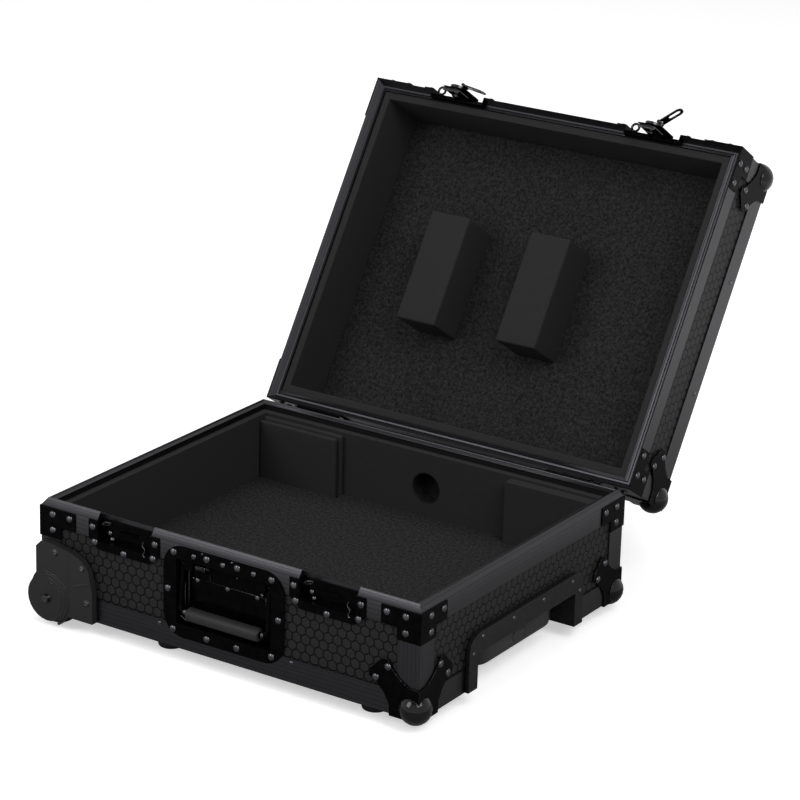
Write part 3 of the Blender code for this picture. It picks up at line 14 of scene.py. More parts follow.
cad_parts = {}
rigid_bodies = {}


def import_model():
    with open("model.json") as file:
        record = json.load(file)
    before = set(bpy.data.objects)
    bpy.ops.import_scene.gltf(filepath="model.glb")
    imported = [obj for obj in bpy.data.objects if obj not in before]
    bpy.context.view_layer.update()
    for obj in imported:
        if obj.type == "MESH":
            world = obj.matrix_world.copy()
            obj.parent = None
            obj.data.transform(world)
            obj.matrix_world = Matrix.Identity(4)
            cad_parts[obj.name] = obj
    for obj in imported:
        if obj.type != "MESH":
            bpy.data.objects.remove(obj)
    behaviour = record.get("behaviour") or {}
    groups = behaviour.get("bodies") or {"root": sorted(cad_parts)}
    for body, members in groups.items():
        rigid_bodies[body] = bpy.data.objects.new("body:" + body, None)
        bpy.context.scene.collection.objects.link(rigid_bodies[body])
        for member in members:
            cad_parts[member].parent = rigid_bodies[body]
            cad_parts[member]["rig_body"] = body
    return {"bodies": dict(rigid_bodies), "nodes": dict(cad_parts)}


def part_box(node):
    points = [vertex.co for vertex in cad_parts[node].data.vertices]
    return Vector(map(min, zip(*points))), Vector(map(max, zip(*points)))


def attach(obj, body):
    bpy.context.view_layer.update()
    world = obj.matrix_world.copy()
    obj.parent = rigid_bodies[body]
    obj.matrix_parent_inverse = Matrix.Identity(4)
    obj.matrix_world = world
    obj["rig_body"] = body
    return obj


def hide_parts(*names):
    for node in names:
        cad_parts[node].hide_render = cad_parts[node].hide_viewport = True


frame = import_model()
scene = bpy.context.scene
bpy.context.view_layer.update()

# The case's own sizes
HALF_X = 0.273
HALF_Y = 0.226
GROUND_Z = -0.067
BASE_Z = -0.047
RIM_Z = 0.086
LID_TOP_Z = 0.188
EDGING_LEG = 0.030
RIM_LEG = 0.024
PLATE_PROUD = 0.0015
BALL_WING_PROUD = 0.0016
TROLLEY_PLATE_PROUD = 0.0055
CHEEK_PROUD = 0.009
FELT_THICKNESS = 0.0036
HINGE_Y = 0.2333
LID_OPEN = math.radians(122.7)
TO_HINGE = Matrix.Translation((0.0, HINGE_Y, RIM_Z))
SWING = TO_HINGE @ Matrix.Rotation(-LID_OPEN, 4, "X") @ TO_HINGE.inverted()
SHUT = SWING.inverted()
LID_BODIES = [name for name in frame["bodies"] if name == "lid" or name.startswith("latch")]

# Camera, as the photograph was taken
AZIMUTH = math.radians(33.1)
ELEVATION = math.radians(19.79)
ROLL = math.radians(1.58)
CAMERA_PLACE = Vector((2.0531, -3.0120, 1.5281))
LENS = 145.4
SIGHT = 50.0


def make_camera():
    """The photograph's viewing angle, with its small roll."""
    away = Vector((math.sin(AZIMUTH), -math.cos(AZIMUTH), 0.0))
    back = math.cos(ELEVATION) * away + Vector((0.0, 0.0, math.sin(ELEVATION)))
    level = Vector((math.cos(AZIMUTH), math.sin(AZIMUTH), 0.0))
    upright = back.cross(level)
    right = math.cos(ROLL) * level + math.sin(ROLL) * upright
    up = math.cos(ROLL) * upright - math.sin(ROLL) * level
    turn = Matrix((right, up, back)).transposed().to_4x4()
    camera = bpy.data.objects.new("camera", bpy.data.cameras.new("camera"))
    camera.matrix_world = Matrix.Translation(CAMERA_PLACE) @ turn
    camera.data.lens = LENS
    camera.data.clip_end = SIGHT
    scene.collection.objects.link(camera)
    scene.camera = camera


# Materials


def linear(code):
    """A hex sRGB colour as linear values."""
    parts = [int(code[i:i + 2], 16) / 255 for i in (1, 3, 5)]
    return [p / 12.92 if p <= 0.04045 else ((p + 0.055) / 1.055) ** 2.4 for p in parts] + [1.0]


def add(tree, kind, inputs=None, **settings):
    """Adds a node. inputs gives each socket a value or the socket that feeds it."""
    node = tree.nodes.new(kind)
    for name, value in settings.items():
        setattr(node, name, value)
    for key, value in (inputs or {}).items():
        if isinstance(value, bpy.types.NodeSocket):
            tree.links.new(value, node.inputs[key])
        else:
            node.inputs[key].default_value = value
    return node


def surface(name, roughness, metallic=0.0, specular=0.5):
    """A new material with its shader on uniform values."""
    material = bpy.data.materials.new(name)
    material.use_nodes = True
    tree = material.node_tree
    shader = tree.nodes["Principled BSDF"]
    shader.inputs["Roughness"].default_value = roughness
    shader.inputs["Metallic"].default_value = metallic
    shader.inputs["Specular IOR Level"].default_value = specular
    return material, tree, shader


def two_tone(tree, shader, factor, dark, pale, start=0.35, end=0.65):
    """Colours the shader from dark to pale as factor goes from start to end."""
    ramp = add(tree, "ShaderNodeMapRange", {"Value": factor, "From Min": start, "From Max": end})
    mix = add(tree, "ShaderNodeMix", {0: ramp.outputs[0], 6: linear(dark), 7: linear(pale)}, data_type="RGBA")
    tree.links.new(mix.outputs[2], shader.inputs["Base Color"])


def relief(tree, shader, height, depth):
    """Raises the surface by height times depth, in metres."""
    bump = add(tree, "ShaderNodeBump", {"Height": height, "Distance": depth, "Strength": 1.0})
    tree.links.new(bump.outputs[0], shader.inputs["Normal"])


def grain(tree, size_mm, detail=3.0):
    """Noise whose features are about size_mm across, in the object's own place."""
    place = add(tree, "ShaderNodeTexCoord").outputs["Object"]
    return add(tree, "ShaderNodeTexNoise",
               {"Vector": place, "Scale": 1000.0 / size_mm, "Detail": detail}).outputs[0]


# The tread's hexagons, 12.6 mm from flat to flat, and where one of them is centred on the front wall
TREAD_PITCH = 0.0126
TREAD_CENTRE = (0.1596, 0.0221, 0.0)
# The extrusion's drawn channels, and its fine streaks: 170 mm long and 0.7 mm wide
CHANNEL_PITCH = 0.0056
STREAKS_PER_METRE = (6.0, 1400.0, 1.0)


def hexagon_distance(tree, pitch, centre):
    """How far a point lies from its hexagon's centre, from 0 to 0.5 of a pitch at the edge."""
    uv = add(tree, "ShaderNodeUVMap", uv_map="panel").outputs[0]
    moved = add(tree, "ShaderNodeVectorMath", {0: uv, 1: centre}, operation="SUBTRACT").outputs[0]
    cell = (pitch, pitch * math.sqrt(3), 1.0)
    nearest = []
    for shift in (0.5, 0.0):
        steps = add(tree, "ShaderNodeVectorMath", {0: moved, 1: cell}, operation="DIVIDE").outputs[0]
        steps = add(tree, "ShaderNodeVectorMath", {0: steps, 1: (shift, shift, 0)},
                    operation="ADD").outputs[0]
        part = add(tree, "ShaderNodeVectorMath", {0: steps}, operation="FRACTION").outputs[0]
        part = add(tree, "ShaderNodeVectorMath", {0: part, 1: (0.5, 0.5, 0)}, operation="SUBTRACT").outputs[0]
        part = add(tree, "ShaderNodeVectorMath", {0: part, 1: (1, math.sqrt(3), 0)},
                   operation="MULTIPLY").outputs[0]
        nearest.append(add(tree, "ShaderNodeVectorMath", {0: part}, operation="ABSOLUTE").outputs[0])
    lengths = [add(tree, "ShaderNodeVectorMath", {0: v}, operation="LENGTH").outputs[1] for v in nearest]
    second = add(tree, "ShaderNodeMath", {0: lengths[0], 1: lengths[1]}, operation="GREATER_THAN").outputs[0]
    best = add(tree, "ShaderNodeMix", {0: second, 4: nearest[0], 5: nearest[1]},
               data_type="VECTOR").outputs[1]
    slant = add(tree, "ShaderNodeVectorMath", {0: best, 1: (0.5, math.sqrt(3) / 2, 0)},
                operation="DOT_PRODUCT").outputs[1]
    sideways = add(tree, "ShaderNodeSeparateXYZ", {0: best}).outputs[0]
    return add(tree, "ShaderNodeMath", {0: slant, 1: sideways}, operation="MAXIMUM").outputs[0]


def make_laminate():
    """Phenolic laminate pressed with a hexagon tread: satin black plates, each with a painted highlight
    inside its edge, and the grooves between them painted near black as shade.

    A plate ends and its groove begins at about 0.42 of a pitch from the hexagon's centre.
    """
    material, tree, shader = surface("hexagon_laminate", 0.42, specular=0.07)
    distance = hexagon_distance(tree, TREAD_PITCH, TREAD_CENTRE)
    plate = add(tree, "ShaderNodeMapRange", {"Value": distance, "From Min": 0.445, "From Max": 0.395})
    # Painted highlight: a lighter ring inside each plate's edge, added to the speckle below
    plate_edge_highlight = add(tree, "ShaderNodeMapRange", {"Value": distance, "From Min": 0.28, "From Max": 0.40})
    speckle = grain(tree, 0.9)
    speckle_and_highlight = add(tree, "ShaderNodeMath", {0: plate_edge_highlight.outputs[0], 1: 0.10}, operation="MULTIPLY").outputs[0]
    speckle_and_highlight = add(tree, "ShaderNodeMath", {0: speckle, 1: speckle_and_highlight}, operation="ADD").outputs[0]
    pale = add(tree, "ShaderNodeMix", {0: speckle_and_highlight, 6: linear("#151515"), 7: linear("#282828")}, data_type="RGBA")
    # The grooves' near black (#080808) is painted shade in the recesses between the plates
    mix = add(tree, "ShaderNodeMix", {0: plate.outputs[0], 6: linear("#080808"), 7: pale.outputs[2]},
              data_type="RGBA")
    tree.links.new(mix.outputs[2], shader.inputs["Base Color"])
    rough = add(tree, "ShaderNodeMath", {0: speckle, 1: 0.15}, operation="MULTIPLY").outputs[0]
    height = add(tree, "ShaderNodeMath", {0: plate.outputs[0], 1: rough}, operation="ADD").outputs[0]
    relief(tree, shader, height, 0.0004)
    return material


def make_edging_finish():
    """Extruded aluminium, anodised black: a soft metal sheen and fine streaks along it, with its channels
    painted darker as shade.
    """
    material, tree, shader = surface("black_anodised_aluminium", 0.38, metallic=1.0)
    uv = add(tree, "ShaderNodeUVMap", uv_map="run").outputs[0]
    split = add(tree, "ShaderNodeSeparateXYZ", {0: uv})
    bands = add(tree, "ShaderNodeMath", {0: split.outputs[1], 1: CHANNEL_PITCH},
                operation="DIVIDE").outputs[0]
    place = add(tree, "ShaderNodeMath", {0: bands}, operation="FRACT").outputs[0]
    centred = add(tree, "ShaderNodeMath", {0: place, 1: 0.5}, operation="SUBTRACT").outputs[0]
    away = add(tree, "ShaderNodeMath", {0: centred}, operation="ABSOLUTE").outputs[0]
    flat = add(tree, "ShaderNodeMapRange", {"Value": away, "From Min": 0.47, "From Max": 0.38}).outputs[0]
    streaky = add(tree, "ShaderNodeMapping", {"Vector": uv, "Scale": STREAKS_PER_METRE})
    streaks = add(tree, "ShaderNodeTexNoise", {"Vector": streaky.outputs[0], "Scale": 1.0, "Detail": 2.0})
    metal = add(tree, "ShaderNodeMix", {0: streaks.outputs[0], 6: linear("#2e2e30"), 7: linear("#424245")},
                data_type="RGBA").outputs[2]
    # The channels' darker colour (#2d2d2f) is painted shade in the grooves
    mix = add(tree, "ShaderNodeMix", {0: flat, 6: linear("#2d2d2f"), 7: metal}, data_type="RGBA").outputs[2]
    tree.links.new(mix, shader.inputs["Base Color"])
    relief(tree, shader, flat, 0.00005)
    return material


def make_black_steel():
    """Pressed steel, black zinc plated and lacquered: near black, with sharp glints on every edge."""
    material, tree, shader = surface("black_plated_steel", 0.12, specular=0.025)
    cloud = grain(tree, 9.0)
    rough = add(tree, "ShaderNodeMapRange", {"Value": cloud, "To Min": 0.07, "To Max": 0.18}).outputs[0]
    tree.links.new(rough, shader.inputs["Roughness"])
    two_tone(tree, shader, cloud, "#020202", "#050505")
    relief(tree, shader, grain(tree, 2.5), 0.00003)
    return material


def make_ball_lacquer():
    """The ball corners' thicker black lacquer: it mirrors the floor below and the lamps."""
    material, tree, shader = surface("black_lacquered_steel", 0.1, specular=0.28)
    cloud = grain(tree, 9.0)
    two_tone(tree, shader, cloud, "#030303", "#060606")
    relief(tree, shader, grain(tree, 2.5), 0.00002)
    return material


def make_black_chrome():
    """Black chromed steel of rivets, hooks and wings: dark mirror-like metal."""
    material, tree, shader = surface("black_chromed_steel", 0.18, metallic=1.0)
    two_tone(tree, shader, grain(tree, 4.0), "#2c2c2e", "#454547")
    relief(tree, shader, grain(tree, 1.5), 0.00002)
    return material


def make_rivet_steel():
    """Burnished black nickel of rivet heads, pins and wire loops: grey domes that catch each lamp softly."""
    material, tree, shader = surface("black_nickel_steel", 0.24, metallic=1.0)
    two_tone(tree, shader, grain(tree, 3.0), "#434347", "#5a5a5f")
    relief(tree, shader, grain(tree, 1.0), 0.00003)
    return material


def make_painted_edge_glint():
    """A painted glint: pale metal laid along the edges of pressed steel, drawing the pale line that light
    makes there.
    """
    # Painted glint: this pale metal stands for the light caught on edges
    material, tree, shader = surface("painted_edge_glint", 0.28, metallic=1.0)
    two_tone(tree, shader, grain(tree, 2.0), "#66666a", "#8a8a8e")
    return material


def make_bright_steel():
    """Bright zinc plated steel wire and bushes: pale grey metal, slightly cloudy."""
    material, tree, shader = surface("zinc_plated_steel", 0.32, metallic=1.0)
    two_tone(tree, shader, grain(tree, 5.0), "#8b8d8f", "#b4b6b8")
    relief(tree, shader, grain(tree, 1.0), 0.00002)
    return material


def make_housing_plastic():
    """Moulded ABS of the wheel corners: dark grey with a fine spark-eroded grain."""
    material, tree, shader = surface("moulded_abs", 0.4, specular=0.16)
    fine = grain(tree, 0.8)
    two_tone(tree, shader, fine, "#1a1a1b", "#242425", 0.25, 0.75)
    relief(tree, shader, fine, 0.00012)
    return material


def make_black_plastic():
    """Moulded black polypropylene: smooth satin black."""
    material, tree, shader = surface("moulded_polypropylene", 0.34, specular=0.1)
    two_tone(tree, shader, grain(tree, 6.0), "#111112", "#1a1a1b")
    relief(tree, shader, grain(tree, 0.7), 0.00005)
    return material


def make_rubber():
    """Moulded rubber of feet and grips: deep matt grey-black with a dusty speckle."""
    material, tree, shader = surface("moulded_rubber", 0.5, specular=0.16)
    fine = grain(tree, 0.7)
    two_tone(tree, shader, fine, "#1c1c1c", "#282828", 0.3, 0.7)
    relief(tree, shader, fine, 0.00008)
    return material


def make_grip_moulding():
    """The pull grip's smooth soft-touch skin: satin grey-black that catches a soft light on its edges."""
    material, tree, shader = surface("soft_touch_moulding", 0.42, specular=0.27)
    fine = grain(tree, 0.9)
    two_tone(tree, shader, fine, "#1b1b1c", "#262626", 0.3, 0.7)
    relief(tree, shader, fine, 0.00004)
    return material


def make_wheel_rubber():
    """Hard wheel tyre: slightly shiny grey-black."""
    material, tree, shader = surface("wheel_polyurethane", 0.4, specular=0.15)
    fine = grain(tree, 1.6)
    two_tone(tree, shader, fine, "#0f0f10", "#181819", 0.3, 0.7)
    relief(tree, shader, fine, 0.00006)
    return material


def make_foam():
    """Closed-cell EVA foam: matt charcoal with pin-prick cells and soft shading."""
    material, tree, shader = surface("eva_foam", 0.9, specular=0.08)
    cells = grain(tree, 0.9, 2.0)
    two_tone(tree, shader, cells, "#1e1e1e", "#2a2a2a", 0.2, 0.8)
    relief(tree, shader, cells, 0.00012)
    return material


def make_felt():
    """Needle-punched felt: dark grey fibres that catch small pale flecks.

    Real fibres are finer than a pixel, so they are drawn 1.7 mm across, in 4 mm clumps.
    """
    material, tree, shader = surface("needle_felt", 1.0, specular=0.05)
    fibres = grain(tree, 1.7, 4.0)
    clumps = grain(tree, 4.0, 3.0)
    both = add(tree, "ShaderNodeMath", {0: fibres, 1: clumps}, operation="MULTIPLY").outputs[0]
    two_tone(tree, shader, both, "#0f0f0f", "#303030", 0.10, 0.42)
    relief(tree, shader, fibres, 0.0003)
    return material


def make_hardboard():
    """Black-faced hardboard under the floor felt: dull fibre board."""
    material, tree, shader = surface("hardboard", 0.8, specular=0.15)
    two_tone(tree, shader, grain(tree, 1.5), "#1d1a18", "#2a2624")
    return material


LAMINATE = make_laminate()
EDGING = make_edging_finish()
BLACK_STEEL = make_black_steel()
BALL_LACQUER = make_ball_lacquer()
BLACK_CHROME = make_black_chrome()
RIVET_STEEL = make_rivet_steel()
PAINTED_EDGE_GLINT = make_painted_edge_glint()
BRIGHT_STEEL = make_bright_steel()
ABS = make_housing_plastic()
BLACK_PLASTIC = make_black_plastic()
RUBBER = make_rubber()
GRIP_MOULDING = make_grip_moulding()
WHEEL_RUBBER = make_wheel_rubber()
FOAM = make_foam()
FELT = make_felt()
HARDBOARD = make_hardboard()


# Making a piece


def body_of(node):
    """The body that a CAD node rides on."""
    return frame["nodes"][node]["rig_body"]


def turns_with_lid(body):
    """Whether a body hangs on the lid."""
    return body in LID_BODIES


def settle(name, bm, material, body, smooth=40.0, weighted=True, glint_or_second_finish=None):
    """Turns a shape made with the lid shut into a finished piece on its body. Faces numbered 1 take the
    second finish: a painted glint along edges, or another metal.
    """
    if turns_with_lid(body):
        bmesh.ops.transform(bm, matrix=SWING, verts=bm.verts)
    mesh = bpy.data.meshes.new(name)
    bm.to_mesh(mesh)
    bm.free()
    mesh.shade_smooth()
    mesh.set_sharp_from_angle(angle=math.radians(smooth))
    mesh.materials.append(material)
    if glint_or_second_finish:
        mesh.materials.append(glint_or_second_finish)
    thing = bpy.data.objects.new(name, mesh)
    scene.collection.objects.link(thing)
    if weighted:
        firm = thing.modifiers.new("even_shading", "WEIGHTED_NORMAL")
        firm.keep_sharp = True
    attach(thing, body)
    return thing


def shape_of(node):
    """A CAD node's shape with the lid shut, merged, with its flat faces whole."""
    bm = bmesh.new()
    bm.from_mesh(frame["nodes"][node].data)
    if turns_with_lid(body_of(node)):
        bmesh.ops.transform(bm, matrix=SHUT, verts=bm.verts)
    bmesh.ops.remove_doubles(bm, verts=bm.verts, dist=1e-6)
    bmesh.ops.dissolve_limit(bm, angle_limit=math.radians(0.6), verts=bm.verts, edges=bm.edges)
    return bm


def corners(verts, margin=0.0):
    """The lowest and highest corners round some vertices, grown by a margin."""
    low = Vector([min(v.co[axis] for v in verts) - margin for axis in range(3)])
    high = Vector([max(v.co[axis] for v in verts) + margin for axis in range(3)])
    return low, high


def within(place, box):
    """Whether a place lies in the box between two corners."""
    return all(box[0][axis] <= place[axis] <= box[1][axis] for axis in range(3))


def break_edges(bm, width, segments=2, above=48.0, number=-1, crisp=None):
    """Rounds every edge that turns by more than a given angle, its new faces numbered.

    With a crisp box, only outward edges are rounded, and none in the box.
    """
    sharp = [e for e in bm.edges if e.is_manifold and e.calc_face_angle(0.0) > math.radians(above)]
    if crisp:
        sharp = [e for e in sharp if e.is_convex and not all(within(v.co, crisp) for v in e.verts)]
    bmesh.ops.bevel(bm, geom=sharp, offset=width, segments=segments, profile=0.5, material=number,
                    affect="EDGES", clamp_overlap=True)


def slice_at(bm, place, normal):
    """Cuts faces along a plane and keeps both sides."""
    bmesh.ops.bisect_plane(bm, geom=bm.verts[:] + bm.edges[:] + bm.faces[:], dist=1e-7,
                           plane_co=place, plane_no=normal)


def facing(face):
    """0, 1 or 2 for the axis that a face looks along."""
    normal = face.normal
    return max(range(3), key=lambda axis: abs(normal[axis]))


def map_panels(bm):
    """Lays the tread pattern flat on each face, in metres."""
    layer = bm.loops.layers.uv.new("panel")
    across = {0: (1, 2), 1: (0, 2), 2: (0, 1)}
    for face in bm.faces:
        u, v = across[facing(face)]
        for loop in face.loops:
            loop[layer].uv = (loop.vert.co[u], loop.vert.co[v])


def map_edging(bm, flat_z, rim_z):
    """Gives each bar of edging its own run: along it, and across it from its outer edge."""
    rise = 1 if rim_z > flat_z else -1
    slice_at(bm, (0, 0, flat_z + rise * EDGING_LEG), (0, 0, 1))
    slice_at(bm, (0, 0, rim_z - rise * RIM_LEG), (0, 0, 1))
    for side in (1, -1):
        slice_at(bm, (HALF_X, side * HALF_Y, 0), (1, -side, 0))
        slice_at(bm, (-HALF_X, side * HALF_Y, 0), (1, side, 0))
    bm.normal_update()
    layer = bm.loops.layers.uv.new("run")
    for face in bm.faces:
        axis = facing(face)
        middle = face.calc_center_median()
        from_flat = (middle.z - flat_z) * rise
        from_rim = (rim_z - middle.z) * rise
        for loop in face.loops:
            x, y, z = loop.vert.co
            if axis == 2:
                along_front = HALF_Y - abs(middle.y) < HALF_X - abs(middle.x)
                run = (x, HALF_Y - abs(y)) if along_front else (y, HALF_X - abs(x))
            elif from_flat < EDGING_LEG:
                run = (x if axis == 1 else y, abs(z - flat_z))
            elif from_rim < RIM_LEG:
                run = (x if axis == 1 else y, abs(z - rim_z))
            else:
                run = (z, HALF_X - abs(x) if axis == 1 else HALF_Y - abs(y))
            loop[layer].uv = run


def recast(node, name, material, edge_width=0.0005, segments=2, smooth=40.0, mapping=None, glint_or_second_finish=None,
           above=48.0, crisp=None):
    """A CAD node's own shape with its edges broken, standing for the node."""
    bm = shape_of(node)
    if edge_width:
        break_edges(bm, edge_width, segments, above, 1 if glint_or_second_finish else -1, crisp)
    bm.normal_update()
    if mapping:
        mapping(bm)
    thing = settle(name, bm, material, body_of(node), smooth, glint_or_second_finish=glint_or_second_finish)
    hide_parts(node)
    return thing


def turned(profile, steps):
    """A closed round shape about Z from (radius, height) points, first and last on the axis."""
    bm = bmesh.new()
    verts = [bm.verts.new((radius, 0.0, height)) for radius, height in profile]
    edges = [bm.edges.new(pair) for pair in zip(verts, verts[1:])]
    bmesh.ops.spin(bm, geom=verts + edges, cent=(0, 0, 0), axis=(0, 0, 1), angle=math.tau, steps=steps,
                   use_merge=True)
    bmesh.ops.remove_doubles(bm, verts=bm.verts, dist=1e-6)
    bmesh.ops.recalc_face_normals(bm, faces=bm.faces)
    return bm


def block_into(bm, low, high):
    """Adds a block between two corners."""
    low, high = Vector(low), Vector(high)
    verts = bmesh.ops.create_cube(bm, size=1.0)["verts"]
    bmesh.ops.scale(bm, vec=high - low, verts=verts)
    bmesh.ops.translate(bm, vec=(low + high) / 2, verts=verts)


def stamp(target, source, place, outward):
    """Puts a copy of source into target, its Z turned to outward."""
    turn = Vector((0, 0, 1)).rotation_difference(Vector(outward)).to_matrix().to_4x4()
    mesh = bpy.data.meshes.new("copy")
    source.to_mesh(mesh)
    mesh.transform(Matrix.Translation(place) @ turn)
    target.from_mesh(mesh)
    bpy.data.meshes.remove(mesh)


# Heads of rivets, screws and pins, and wires


def dome(radius, height, steps=16, rings=5):
    """A domed head whose foot sinks a little into its plate."""
    foot = 0.0006
    arc = [(radius * math.sin(t), height * math.cos(t)) for t in
           (math.pi / 2 * i / rings for i in range(rings + 1))]
    return turned([(0, arc[0][1])] + arc[1:] + [(radius, -foot), (0, -foot)], steps)


RIVET = dome(0.0046, 0.0027)
SMALL_RIVET = turned([(0, 0.0013), (0.0012, 0.0012), (0.0023, 0.0008), (0.0029, 0.0002), (0.0029, -0.0004),
                      (0, -0.0004)], 14)
SCREW = turned([(0, 0.0006), (0.0009, 0.0006), (0.0012, 0.0010), (0.0021, 0.0011), (0.0029, 0.0006),
                (0.0032, -0.0004), (0, -0.0004)], 14)
WASHER = turned([(0, 0.0005), (0.0045, 0.0005), (0.0050, 0.0), (0.0050, -0.0004), (0, -0.0004)], 18)
HINGE_HEAD = dome(0.0036, 0.0022, steps=14, rings=4)
PIN_HEAD = dome(0.0015, 0.0013, steps=10, rings=3)
CLIP_HEAD = dome(0.0025, 0.0022, steps=10, rings=4)


def heads(name, spots, body, kind=RIVET, material=RIVET_STEEL):
    """Heads of one kind at (place, outward) spots, as one piece."""
    bm = bmesh.new()
    for place, outward in spots:
        stamp(bm, kind, place, outward)
    settle(name, bm, material, body, smooth=60.0, weighted=False)


def wire_into(bm, points, radius, sides=6):
    """Adds a round wire by extruding a circle along points, its ends closed."""
    path = [Vector(point) for point in points]
    verts = bmesh.ops.create_circle(bm, cap_ends=True, radius=radius, segments=sides)["verts"]
    rim = list(dict.fromkeys(edge for vert in verts for edge in vert.link_edges))
    heading = Vector((0, 0, 1))
    turn = Quaternion()
    here = Matrix()
    for i, place in enumerate(path):
        ahead = (path[min(i + 1, len(path) - 1)] - path[max(i - 1, 0)]).normalized()
        turn = heading.rotation_difference(ahead) @ turn
        there = Matrix.Translation(place) @ turn.to_matrix().to_4x4()
        if i:
            made = bmesh.ops.extrude_edge_only(bm, edges=rim)["geom"]
            verts = [g for g in made if isinstance(g, bmesh.types.BMVert)]
            rim = [g for g in made if isinstance(g, bmesh.types.BMEdge) and all(v in verts for v in g.verts)]
        bmesh.ops.transform(bm, matrix=there @ here.inverted(), verts=verts)
        heading = ahead
        here = there
    bmesh.ops.holes_fill(bm, edges=rim, sides=0)


def wires(name, paths, radius, body, material=RIVET_STEEL):
    """Separate wires as one piece."""
    bm = bmesh.new()
    for path in paths:
        wire_into(bm, path, radius)
    bmesh.ops.recalc_face_normals(bm, faces=bm.faces)
    settle(name, bm, material, body, smooth=60.0, weighted=False)


def ring(centre, radius, axis, turn=math.tau, steps=14, pitch=0.0):
    """Points of an open ring or coil about an axis, with steps points to a turn."""
    axis = Vector(axis).normalized()
    across = axis.orthogonal().normalized()
    other = axis.cross(across)
    count = max(4, round(steps * turn / math.tau))
    made = []
    for i in range(count + 1):
        angle = turn * i / count
        lift = axis * pitch * angle / math.tau
        made.append(Vector(centre) + lift + radius * (across * math.cos(angle) + other * math.sin(angle)))
    return made


# The box: laminated panels in aluminium edging


def make_boxes():
    """Both trays, and the edging frames round them."""
    recast("base_tray", "laminated_base", LAMINATE, 0.0004, mapping=map_panels)
    recast("lid_tray", "laminated_lid", LAMINATE, 0.0004, mapping=map_panels)
    recast("base_edging", "base_aluminium_edging", EDGING, 0.0006, 3,
           mapping=lambda bm: map_edging(bm, BASE_Z, RIM_Z))
    recast("lid_edging", "lid_aluminium_edging", EDGING, 0.0006, 3,
           mapping=lambda bm: map_edging(bm, LID_TOP_Z, RIM_Z))


# Rivets of a brace and of a ball corner: distance from the side, and from the rim or the flat side
BRACE_RIVETS = [(0.0191, 0.0082), (0.0448, 0.0082), (0.0191, 0.0283)]
BALL_WING_RIVETS = [(0.0414, 0.0577), (0.0574, 0.0412)]
BALL_INSET = 0.010
BALL_REACH = 0.0203


def blacken_wings(bm, sx, sy, flat_z, rise):
    """Numbers a ball corner's flat wings 2, all but the painted pale glints on their edges, and leaves the
    ball's own number.
    """
    middle = Vector((sx * (HALF_X - BALL_INSET), sy * (HALF_Y - BALL_INSET), flat_z + rise * BALL_INSET))
    for face in bm.faces:
        if face.material_index == 0 and (face.calc_center_median() - middle).length > BALL_REACH:
            face.material_index = 2


def corner_spots(positions, proud, signs, z_of):
    """Rivet places on both faces of each corner, given by its signs of X and Y."""
    spots = []
    for sx, sy in signs:
        for u, v in positions:
            spots.append(((sx * (HALF_X - u), sy * (HALF_Y + proud), z_of(v)), (0, sy, 0)))
            spots.append(((sx * (HALF_X + proud), sy * (HALF_Y - u), z_of(v)), (sx, 0, 0)))
    return spots


def make_corners():
    """Braces at the rim and ball corners outside, with their rivets."""
    every = [(sx, sy) for sx in (-1, 1) for sy in (-1, 1)]
    for sx, sy in every:
        where = f"{'front' if sy < 0 else 'back'}_{'left' if sx < 0 else 'right'}"
        for part in ("base", "lid"):
            recast(f"{part}_corner_brace_{where}", f"{part}_brace_{where}", BLACK_STEEL, 0.0004)
            if part == "lid" or sx > 0:
                flat_z = BASE_Z if part == "base" else LID_TOP_Z
                rise = 1 if part == "base" else -1
                # The ball corner's broken edges take a painted pale glint
                ball = recast(f"{part}_ball_corner_{where}", f"{part}_ball_{where}", BALL_LACQUER,
                              0.0005, 3, 50.0, glint_or_second_finish=PAINTED_EDGE_GLINT,
                              mapping=lambda bm: blacken_wings(bm, sx, sy, flat_z, rise))
                ball.data.materials.append(BLACK_STEEL)
    right = [(1, -1), (1, 1)]
    for part, kind, positions, proud, signs, z_of in (
            ("base", "brace", BRACE_RIVETS, PLATE_PROUD, every, lambda v: RIM_Z - v),
            ("lid", "brace", BRACE_RIVETS, PLATE_PROUD, every, lambda v: RIM_Z + v),
            ("base", "ball", BALL_WING_RIVETS, BALL_WING_PROUD, right, lambda v: BASE_Z + v),
            ("lid", "ball", BALL_WING_RIVETS, BALL_WING_PROUD, every, lambda v: LID_TOP_Z - v)):
        heads(f"{part}_{kind}_rivets", corner_spots(positions, proud, signs, z_of), part)


# Latches, hinges and handle. A latch's places are X from its own middle, and Z or the distance from the rim

FRONT = (0, -1, 0)
FRONT_PLATE_Y = -HALF_Y - PLATE_PROUD
LATCHES = {"left": -0.1465, "right": 0.1465}
LATCH_RIVETS_FROM_RIM = [(-0.0466, 0.0092), (0.0466, 0.0092), (-0.0436, 0.028), (0.0436, 0.028), (0, 0.0332)]
KEEPER_PINS = [(-0.0278, 0.0700), (-0.0245, 0.0625)]
KEEPER_PINS_Y = -0.2180
KEEPER_HOOK = [(0.0305, 0.0765), (0.0285, 0.0735), (0.0290, 0.0700), (0.0320, 0.0675), (0.0318, 0.0640),
               (0.0295, 0.0610), (0.0305, 0.0575), (0.0332, 0.0580)]
KEEPER_HOOK_Y = -0.2283
EYE_X = -0.026
EYE_RADIUS = 0.0045
EYE_WIRE = 0.0012
# The padlock eyes' Y and Z, the lid's as it stands open
BASE_EYE = (-0.226, 0.0845)
LID_EYE = (0.48337, 0.47126)


